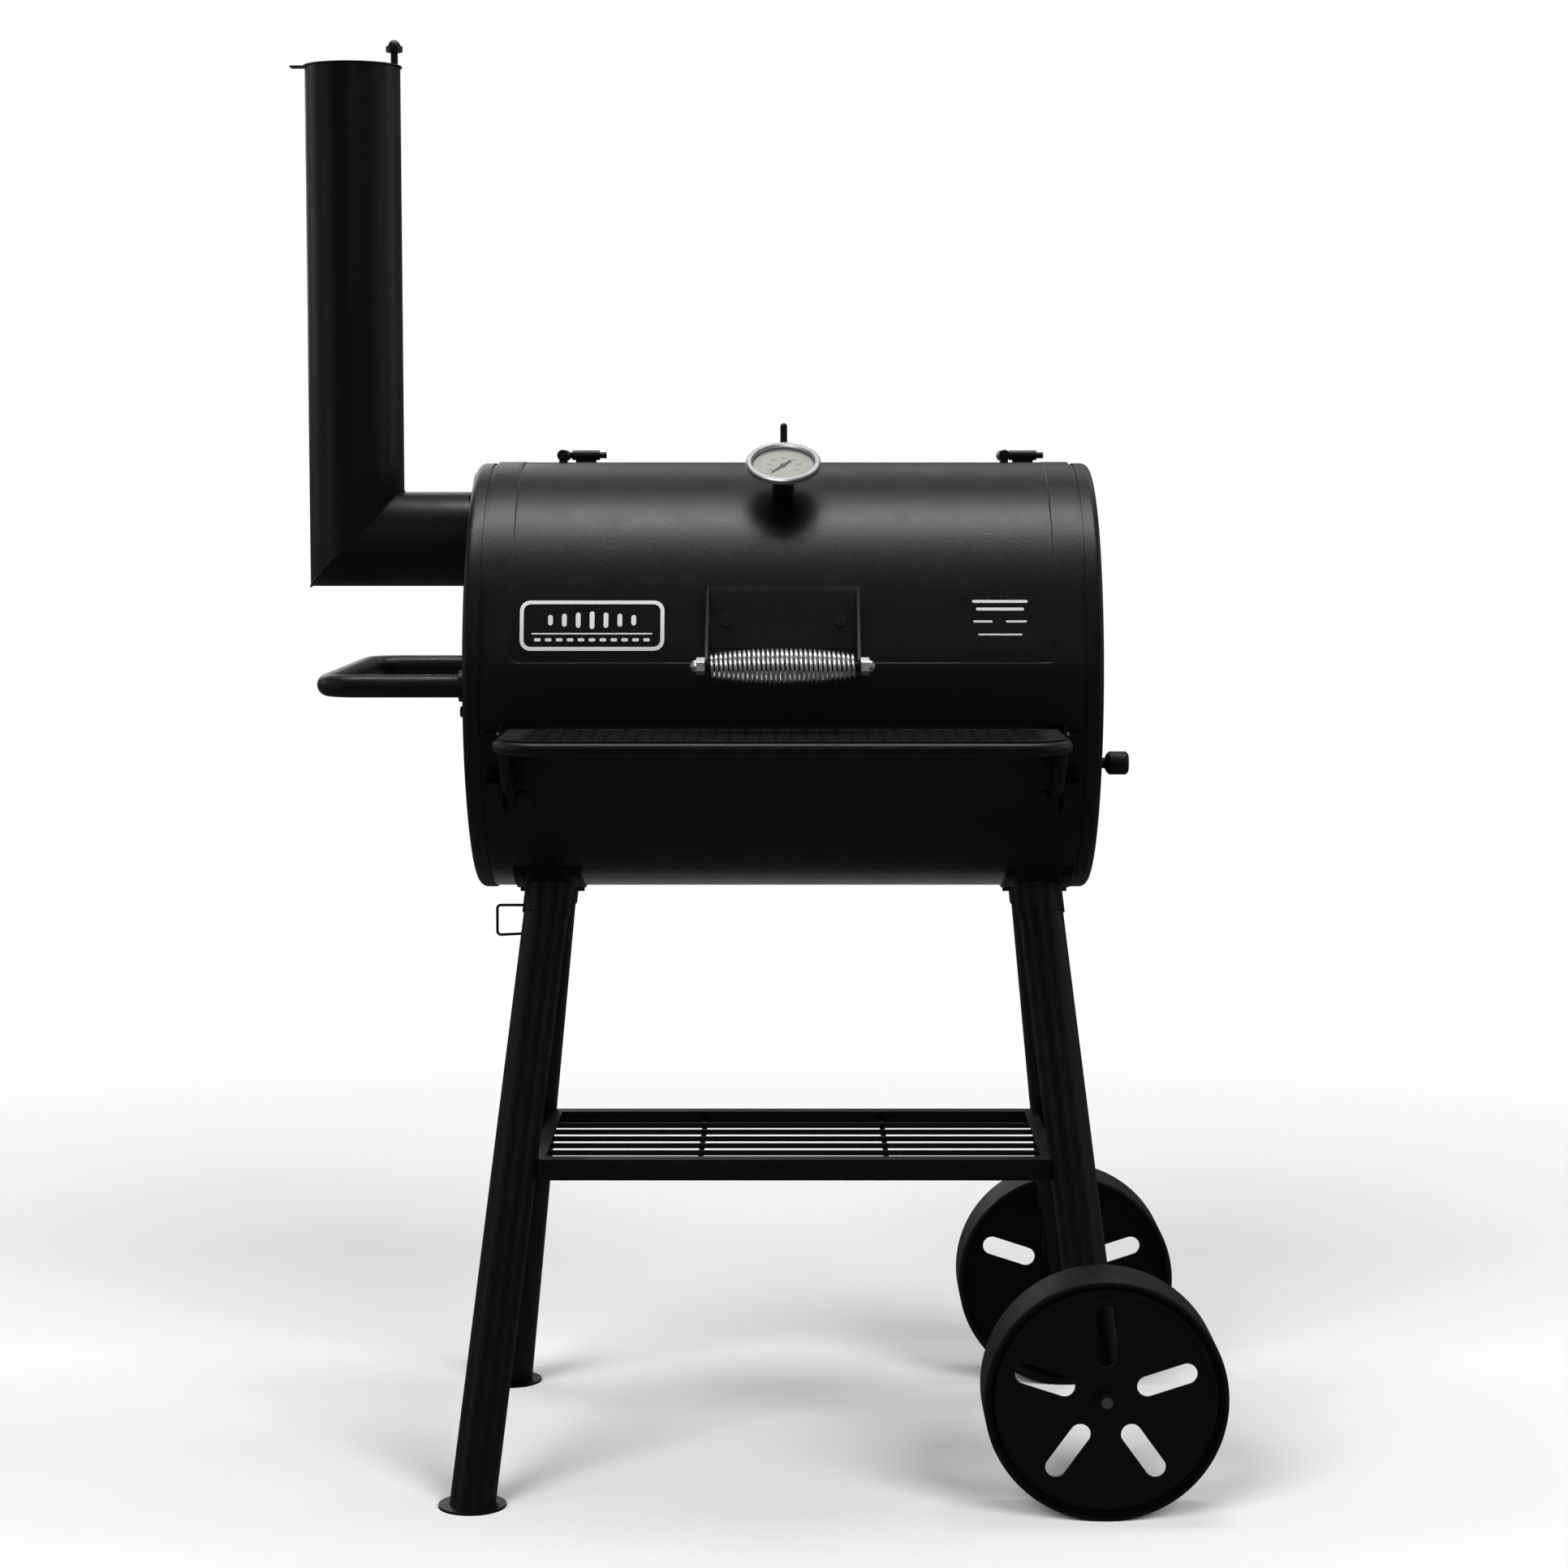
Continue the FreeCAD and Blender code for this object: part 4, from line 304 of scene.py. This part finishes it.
for width, drop in ((0.5, 0.1), (0.6, 0.4), (0.6, 0.5), (0.5, 0.3), (0.5, 0.0)):
    bmesh.ops.inset_region(lid_sheet, faces=[panel_face], thickness=width * mm, depth=-drop * mm,
                           use_even_offset=True)


def rolled(bm, height, middle_x, middle_angle, radius, strips):
    """Rolls a flat sheet about the barrel's axis, cut into strips first so that it bends smoothly."""
    for step in range(1, strips):
        bmesh.ops.bisect_plane(bm, geom=list(bm.verts) + list(bm.edges) + list(bm.faces), dist=1e-6,
                               plane_co=(0, height * (step / strips - 0.5), 0), plane_no=(0, 1, 0))
    bmesh.ops.remove_doubles(bm, verts=bm.verts, dist=0.00002)
    bmesh.ops.recalc_face_normals(bm, faces=bm.faces)
    if sum(face.normal.z * face.calc_area() for face in bm.faces) < 0:
        bmesh.ops.reverse_faces(bm, faces=bm.faces)
    for vert in bm.verts:
        angle = middle_angle + vert.co.y / radius
        reach = radius + vert.co.z
        vert.co = (middle_x + vert.co.x, barrel_y - reach * math.cos(angle),
                   barrel_z + reach * math.sin(angle))


rolled(lid_sheet, lid_arc, lid_middle, (lid_front + lid_rear) / 2, lid_radius, roll_strips)
lid = finished_piece("pressed_lid", lid_sheet, "lid", lid_paint, 60)
wall = lid.modifiers.new("sheet", "SOLIDIFY")
wall.thickness = 2 * mm
wall.offset = -1
eased(lid, 0.5 * mm, 60)
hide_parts("lid_shell")

# ---- Badge and information plate ----
# Two thin enamelled steel plates fixed flat on the panel: a black one with a white border line, and a
# smaller one with plain bars.
badge_black = satin_black("badge enamel", 0.36, 0.42, 0.008, 0.05)
print_white = satin_black("white enamel print", 0.4, 0.5, 0.75, 0.02)


def bar(bm, x, y, length, width):
    """A flat bar with round ends, drawn on a plate."""
    face = rounded_sheet(bm, length, width, width * 0.45)
    bmesh.ops.translate(bm, vec=(x, y, 0), verts=face.verts)


def printed(node, name, bm, height):
    """Rolls a flat drawing to just proud of a plate on the lid."""
    low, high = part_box(node)
    middle = (low + high) / 2
    reach = max(math.hypot(vert.co.y - barrel_y, vert.co.z - barrel_z)
                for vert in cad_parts[node].data.vertices)
    angle = math.atan2(middle.z - barrel_z, barrel_y - middle.y)
    rolled(bm, height, middle.x, angle, reach + 0.05 * mm, 16)
    sparkle.objects.link(finished_piece(name, bm, "lid", print_white, 60))


for node in ("badge_plate", "info_plate"):
    dressed(node, node + "_enamelled", "lid", badge_black)
badge_art = bmesh.new()
rounded_sheet(badge_art, 151 * mm, 54 * mm, 11 * mm)
badge_rim = list(badge_art.edges)
bmesh.ops.delete(badge_art, geom=list(badge_art.faces), context="FACES_ONLY")
hollow = rounded_sheet(badge_art, 143 * mm, 46 * mm, 7.5 * mm)
hollow_rim = list(hollow.edges)
bmesh.ops.delete(badge_art, geom=[hollow], context="FACES_ONLY")
bmesh.ops.triangle_fill(badge_art, use_beauty=True, edges=badge_rim + hollow_rim)
bar(badge_art, 0, -9 * mm, 126 * mm, 1.5 * mm)
for step in range(-5, 6):
    bar(badge_art, step * 11.4 * mm, -15.5 * mm, 7 * mm, 3.4 * mm)
for step in range(-3, 4):
    bar(badge_art, step * 14.5 * mm, 5.5 * mm, 5 * mm, (19 - 2.6 * abs(step)) * mm)
printed("badge_plate", "badge_print", badge_art, 54 * mm)
info_art = bmesh.new()
for x, y, length, width in ((0, 22, 58, 3.2), (0, 13.5, 50, 3.2), (-18, 0, 20, 2.2), (17, 0, 22, 2.2),
                            (0, -14, 46, 1.8)):
    bar(info_art, x * mm, y * mm, length * mm, width * mm)
printed("info_plate", "info_print", info_art, 50 * mm)

# ---- Lid handle ----
# A steel rod through the ears of a folded bracket, held by a nut at each end, with a chromed coil
# spring on it that stays cool in the hand.


def plated(name, tone=0.8, low=0.07, high=0.2):
    """Bright metal plate with faint wipe marks."""
    plate = bpy.data.materials.new(name)
    plate.use_nodes = True
    nodes, links = plate.node_tree.nodes, plate.node_tree.links
    shader = nodes["Principled BSDF"]
    shader.inputs["Metallic"].default_value = 1.0
    place = nodes.new("ShaderNodeTexCoord")
    haze = nodes.new("ShaderNodeTexNoise")
    haze.inputs["Scale"].default_value = 60
    haze.inputs["Detail"].default_value = 5
    links.new(place.outputs["Object"], haze.inputs["Vector"])
    gloss = nodes.new("ShaderNodeMapRange")
    gloss.inputs["From Min"].default_value = 0.3
    gloss.inputs["From Max"].default_value = 0.7
    gloss.inputs["To Min"].default_value = low
    gloss.inputs["To Max"].default_value = high
    links.new(haze.outputs["Fac"], gloss.inputs["Value"])
    links.new(gloss.outputs["Result"], shader.inputs["Roughness"])
    tint = nodes.new("ShaderNodeValToRGB")
    tint.color_ramp.elements[0].color = (tone * 0.9, tone * 0.9, tone * 0.92, 1)
    tint.color_ramp.elements[1].color = (tone, tone, tone * 1.01, 1)
    links.new(haze.outputs["Fac"], tint.inputs["Fac"])
    links.new(tint.outputs["Color"], shader.inputs["Base Color"])
    scratch = nodes.new("ShaderNodeTexNoise")
    scratch.inputs["Scale"].default_value = 1500
    links.new(place.outputs["Object"], scratch.inputs["Vector"])
    bump = nodes.new("ShaderNodeBump")
    bump.inputs["Strength"].default_value = 0.02
    bump.inputs["Distance"].default_value = 0.0001
    links.new(scratch.outputs["Fac"], bump.inputs["Height"])
    links.new(bump.outputs["Normal"], shader.inputs["Normal"])
    return plate


bright_plate = plated("bright plate", 0.88, 0.24, 0.34)
# The rod is plated near black as painted shade: it shows only through the gaps of the spring, and its
# dark tone stands in for the shadow inside the coil.
rod_painted_shade = plated("rod darkened as painted shade", 0.06, 0.35, 0.5)
bare_steel = plated("bare steel", 0.45, 0.25, 0.4)
black_screws = satin_black("black oxide", 0.4, 0.5, 0.014)
dressed("handle_bracket", "folded_handle_bracket", "lid", lid_paint)
dressed("handle_screws", "handle_bracket_screws", "lid", black_screws, 0.2 * mm)
dressed("handle_rod", "handle_bar", "lid", rod_painted_shade, 0.2 * mm)
dressed("handle_nuts", "handle_end_nuts", "lid", bright_plate, 0.3 * mm)
grip_low, grip_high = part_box("handle_grip")
grip_middle = (grip_low + grip_high) / 2
spring_wire = 1.7 * mm
spring_end = 10.1 * mm
spring_swell = 6.8 * mm
coils = 31
turn_points = 20
spring_line = bpy.data.curves.new("spring line", "CURVE")
spring_line.dimensions = "3D"
spring_line.bevel_depth = spring_wire
spring_line.bevel_resolution = 3
spring_line.use_fill_caps = True
strand = spring_line.splines.new("POLY")
strand.points.add(coils * turn_points)
spring_run = grip_high.x - grip_low.x - 2 * spring_wire
for step, point in enumerate(strand.points):
    share = step / (coils * turn_points)
    swell = math.sin(math.pi * share) ** 0.6
    reach = spring_end + spring_swell * swell
    turn = 2 * math.pi * step / turn_points
    point.co = (grip_low.x + spring_wire + spring_run * share, grip_middle.y + reach * math.cos(turn),
                grip_middle.z + reach * math.sin(turn), 1)
spring_object = bpy.data.objects.new("spring line", spring_line)
bpy.context.scene.collection.objects.link(spring_object)
spring_mesh = bpy.data.meshes.new_from_object(spring_object)
bpy.data.objects.remove(spring_object)
spring_shape = bmesh.new()
spring_shape.from_mesh(spring_mesh)
bpy.data.meshes.remove(spring_mesh)
spring = finished_piece("coil_spring_grip", spring_shape, "lid", bright_plate, 50)
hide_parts("handle_grip")
for name in ("coil_spring_grip", "handle_end_nuts"):
    sparkle.objects.link(bpy.data.objects[name])

# ---- Hinges and stop ----
# Bent rods welded to the lid turn in short tubes on the shell. An upright rod with a flattened foot
# stops the lid when it is thrown open.
dressed("hinge_arms", "hinge_rods", "lid", lid_paint)
dressed("hinge_tubes", "hinge_knuckles", "barrel_and_stand", barrel_paint, 0.3 * mm)
dressed("lid_stop", "lid_stop_rod", "barrel_and_stand", barrel_paint, 0.2 * mm)

# ---- Thermometer ----
# A dial thermometer screwed into a bush on the lid: a plated case with a rolled bezel, glass, a
# printed dial and a stem that reaches into the barrel.
dressed("gauge_neck", "thermometer_bush", "lid", lid_paint, 0.3 * mm)
dressed("gauge_nut", "thermometer_nut", "lid", bare_steel, 0.3 * mm)
# The case is plated near black as painted shade: its inner wall stands in for the shadow in the
# recess round the dial.
case_plate_painted_shade = plated("case plate darkened as painted shade", 0.1, 0.2, 0.35)
dressed("gauge_case", "thermometer_case", "lid", case_plate_painted_shade, 0.3 * mm)
satin_plate = plated("satin plate", 0.5, 0.42, 0.5)
dressed("gauge_bezel", "thermometer_bezel", "lid", satin_plate, 0.3 * mm)
dial_paint = satin_black("dial enamel", 0.4, 0.5, 0.5, 0.02, (1, 0.98, 0.86))
dressed("gauge_dial", "thermometer_dial", "lid", dial_paint)
dial_low, dial_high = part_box("gauge_dial")
dial_angle = math.radians(59)
dial_right = Vector((1, 0, 0))
dial_out = Vector((0, -math.cos(dial_angle), math.sin(dial_angle)))
dial_up = dial_out.cross(dial_right)
dial_turn = Matrix((dial_right, dial_up, dial_out)).transposed().to_4x4()
dial_place = Matrix.Translation((dial_low + dial_high) / 2 + dial_out * 0.75 * mm) @ dial_turn
dial_print = bmesh.new()
for ring, width in ((24.5, 0.35), (19.5, 2.2), (13.0, 0.3)):
    made = bmesh.ops.create_circle(dial_print, cap_ends=True, segments=72, radius=(ring + width) * mm)
    bmesh.ops.inset_region(dial_print, faces=made["verts"][0].link_faces[:], thickness=width * mm)
    middle_face = [face for face in dial_print.faces if len(face.verts) > 8]
    bmesh.ops.delete(dial_print, geom=middle_face, context="FACES_ONLY")
for step in range(41):
    turn = Matrix.Rotation(math.radians(-135 + 270 * step / 40), 4, "Z")
    long = step % 5 == 0
    tick = Matrix.Diagonal((0.5 * mm if long else 0.3 * mm, 3.4 * mm if long else 2 * mm, 1, 1))
    bmesh.ops.create_grid(dial_print, x_segments=1, y_segments=1, size=0.5,
                          matrix=turn @ Matrix.Translation((0, 26.5 * mm, 0)) @ tick)
for step, word in enumerate(("100", "150", "200", "250", "300", "350", "400")):
    text = bpy.data.curves.new("dial number", "FONT")
    text.body = word
    text.size = 4.6 * mm
    text.align_x = "CENTER"
    text.align_y = "CENTER"
    text_object = bpy.data.objects.new("dial number", text)
    bpy.context.scene.collection.objects.link(text_object)
    number = bpy.data.meshes.new_from_object(text_object)
    bpy.data.objects.remove(text_object)
    turn = math.radians(-120 + 40 * step)
    number.transform(Matrix.Translation((16.2 * mm * math.sin(turn), 16.2 * mm * math.cos(turn), 0)))
    dial_print.from_mesh(number)
    bpy.data.meshes.remove(number)
bmesh.ops.transform(dial_print, matrix=dial_place, verts=dial_print.verts)
dial_ink = satin_black("dial ink", 0.5, 0.6, 0.03, 0.02)
finished_piece("thermometer_scale", dial_print, "lid", dial_ink)
needle_paint = satin_black("needle paint", 0.4, 0.5, 0.03)
dressed("gauge_needle", "thermometer_needle", "gauge_pointer", needle_paint)
clear_glass = bpy.data.materials.new("clear glass")
clear_glass.use_nodes = True
glass_shader = clear_glass.node_tree.nodes["Principled BSDF"]
glass_shader.inputs["Base Color"].default_value = (0.9, 0.93, 0.93, 1)
glass_shader.inputs["Roughness"].default_value = 0.03
glass_shader.inputs["IOR"].default_value = 1.45
glass_shader.inputs["Alpha"].default_value = 0.1
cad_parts["gauge_glass"].material_slots[0].material = clear_glass
for name in ("thermometer_bezel", "thermometer_nut", "thermometer_case", "thermometer_dial"):
    sparkle.objects.link(bpy.data.objects[name])

# ---- Chimney ----
# A short duct out of the left cap is mitred and welded to the upright stack. A flange with four
# bolts holds it, and a flat disc on an upright bolt covers the top.
pipe_paint = satin_black("stove paint, chimney", grain=0.1)
for node in ("chimney_duct", "chimney_stack", "chimney_flange"):
    dressed(node, node + "_painted", "barrel_and_stand", pipe_paint)
duct_low, duct_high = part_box("chimney_duct")
stack_low, stack_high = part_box("chimney_stack")
duct_axis = (duct_low + duct_high) / 2
stack_axis = (stack_low + stack_high) / 2
pipe_radius = (stack_high.x - stack_low.x) / 2
bead = bmesh.new()
bead_place = Matrix.Translation((pipe_radius, 0, 0)) @ Matrix.Rotation(math.pi / 2, 4, "X")
bmesh.ops.create_circle(bead, segments=8, radius=1.1 * mm, matrix=bead_place)
bmesh.ops.spin(bead, geom=bead.verts[:] + bead.edges[:], cent=(0, 0, 0), axis=(0, 0, 1),
               angle=2 * math.pi, steps=96, use_merge=True)
for vert in bead.verts:
    ripple = 0.25 * mm * math.sin(48 * math.atan2(vert.co.y, vert.co.x))
    vert.co.z += ripple + vert.co.x
bmesh.ops.translate(bead, vec=(stack_axis.x, stack_axis.y, duct_axis.z), verts=bead.verts)
bmesh.ops.recalc_face_normals(bead, faces=bead.faces)
finished_piece("chimney_mitre_weld", bead, "barrel_and_stand", pipe_paint, 80)
dressed("chimney_damper", "chimney_damper_plate", "chimney_top", pipe_paint, 0.3 * mm)
dressed("damper_post", "chimney_damper_post", "barrel_and_stand", black_screws, 0.2 * mm)
dressed("left_cap_bolts", "left_cap_screws", "barrel_and_stand", black_screws, 0.2 * mm)

# ---- Side handle ----
# A bent steel tube in satin black paint, for pulling the cart. Its ends are pushed into two round
# flanges bolted to the left cap.
wire_paint = satin_black("satin paint, tube and wire", 0.36, 0.48)
dressed("side_handle", "side_handle_tube", "barrel_and_stand", wire_paint)
dressed("side_handle_flanges", "side_handle_rings", "barrel_and_stand",
        barrel_paint, 0.3 * mm)

# ---- Air damper ----
# A steel disc with four holes turns over the same four holes in the right cap on a bolt at its
# middle, moved by a moulded black knob.
dressed("air_damper", "air_damper_disc", "air_inlet", barrel_paint, 0.2 * mm)
knob_black = satin_black("moulded knob", 0.45, 0.55, 0.012)
dressed("air_damper_knob", "air_damper_grip", "air_inlet", knob_black, 0.4 * mm)
dressed("air_damper_pivot", "air_damper_bolt", "barrel_and_stand", black_screws, 0.2 * mm)

# ---- Front shelf ----
# Expanded steel sheet welded on a bent tube. The tube's arms and two sloping struts are bolted to
# curved brackets on the shell.
dressed("shelf_rail", "shelf_rail_tube", "barrel_and_stand", wire_paint)
# A rougher copy of the stand paint. Its higher roughness is a real dull finish, and its darker tone
# is painted shade on the shelf mesh, the struts under it and the tool hook.
dull_paint_with_painted_shade = satin_black("dull paint with painted shade, mesh and hook", 0.55, 0.68, 0.004)
dressed("shelf_mesh", "shelf_expanded_sheet", "barrel_and_stand", dull_paint_with_painted_shade)
dressed("shelf_struts", "shelf_strut_tubes", "barrel_and_stand", dull_paint_with_painted_shade)
for side in ("left", "right"):
    node = side + "_shelf_bracket"
    dressed(node, node + "_folded", "barrel_and_stand", barrel_paint, 0.25 * mm)
dressed("shelf_fasteners", "shelf_screws", "barrel_and_stand", black_screws, 0.2 * mm)

# ---- Stand ----
# Four splayed tubes fit in collars welded to saddles, each saddle bolted to the shell with four
# bolts. The left pair stands on round feet.
stand_paint = satin_black("satin paint, stand", 0.36, 0.48)
for side in ("front_left", "front_right", "rear_left", "rear_right"):
    dressed(side + "_leg", side + "_leg_tube", "barrel_and_stand", stand_paint)
dressed("leg_sockets", "leg_saddles", "barrel_and_stand", stand_paint, 0.3 * mm)
dressed("socket_bolts", "saddle_screws", "barrel_and_stand", black_screws, 0.2 * mm)
for node in ("front_foot", "rear_foot"):
    dressed(node, node + "_disc", "barrel_and_stand", stand_paint, 0.4 * mm)
dressed("tool_hook", "tool_hook_wire", "barrel_and_stand", dull_paint_with_painted_shade)

# ---- Lower rack ----
# Four painted steel angle bars are welded between the legs and carry a grid of round rods, which are
# joined where they cross.
for node in ("rack_long_bars", "rack_end_bars"):
    dressed(node, node + "_angles", "barrel_and_stand", stand_paint, 0.3 * mm)
dressed("rack_grid", "rack_rods", "barrel_and_stand", wire_paint)

# ---- Axle and wheels ----
# Two wheels, each a pressed and slotted steel disc set into a wide rim in matt black, turn freely
# on a bare steel axle. A nut on each end keeps them on.
wheel_paint = satin_black("matt paint, wheels", 0.5, 0.62, 0.01, 0.1)
dressed("axle", "axle_bar", "barrel_and_stand", bare_steel, 0.2 * mm)
dressed("axle_nuts", "axle_end_nuts", "barrel_and_stand", black_screws, 0.3 * mm)
for side in ("front", "rear"):
    dressed(side + "_wheel", side + "_wheel_pressing", side + "_wheel_turning",
            wheel_paint, 0.8 * mm)

# ---- Inside ----
# Two cast grates rest on ledges welded to the shell, a wire rack sits above them, and the charcoal
# tray hangs between two straps.
cast_iron = satin_black("seasoned iron", 0.5, 0.68, 0.018, 0.4)
dressed("grate_ledges", "grate_ledge_strips", "barrel_and_stand", barrel_paint)
for node in ("left_cooking_grate", "right_cooking_grate"):
    dressed(node, node + "_casting", "barrel_and_stand", cast_iron, 0.8 * mm)
dressed("warming_rack", "warming_rack_wires", "barrel_and_stand", bare_steel)
dressed("charcoal_tray", "charcoal_pan", "tray", barrel_paint, 0.3 * mm)
dressed("tray_hangers", "tray_straps", "barrel_and_stand", barrel_paint, 0.3 * mm)
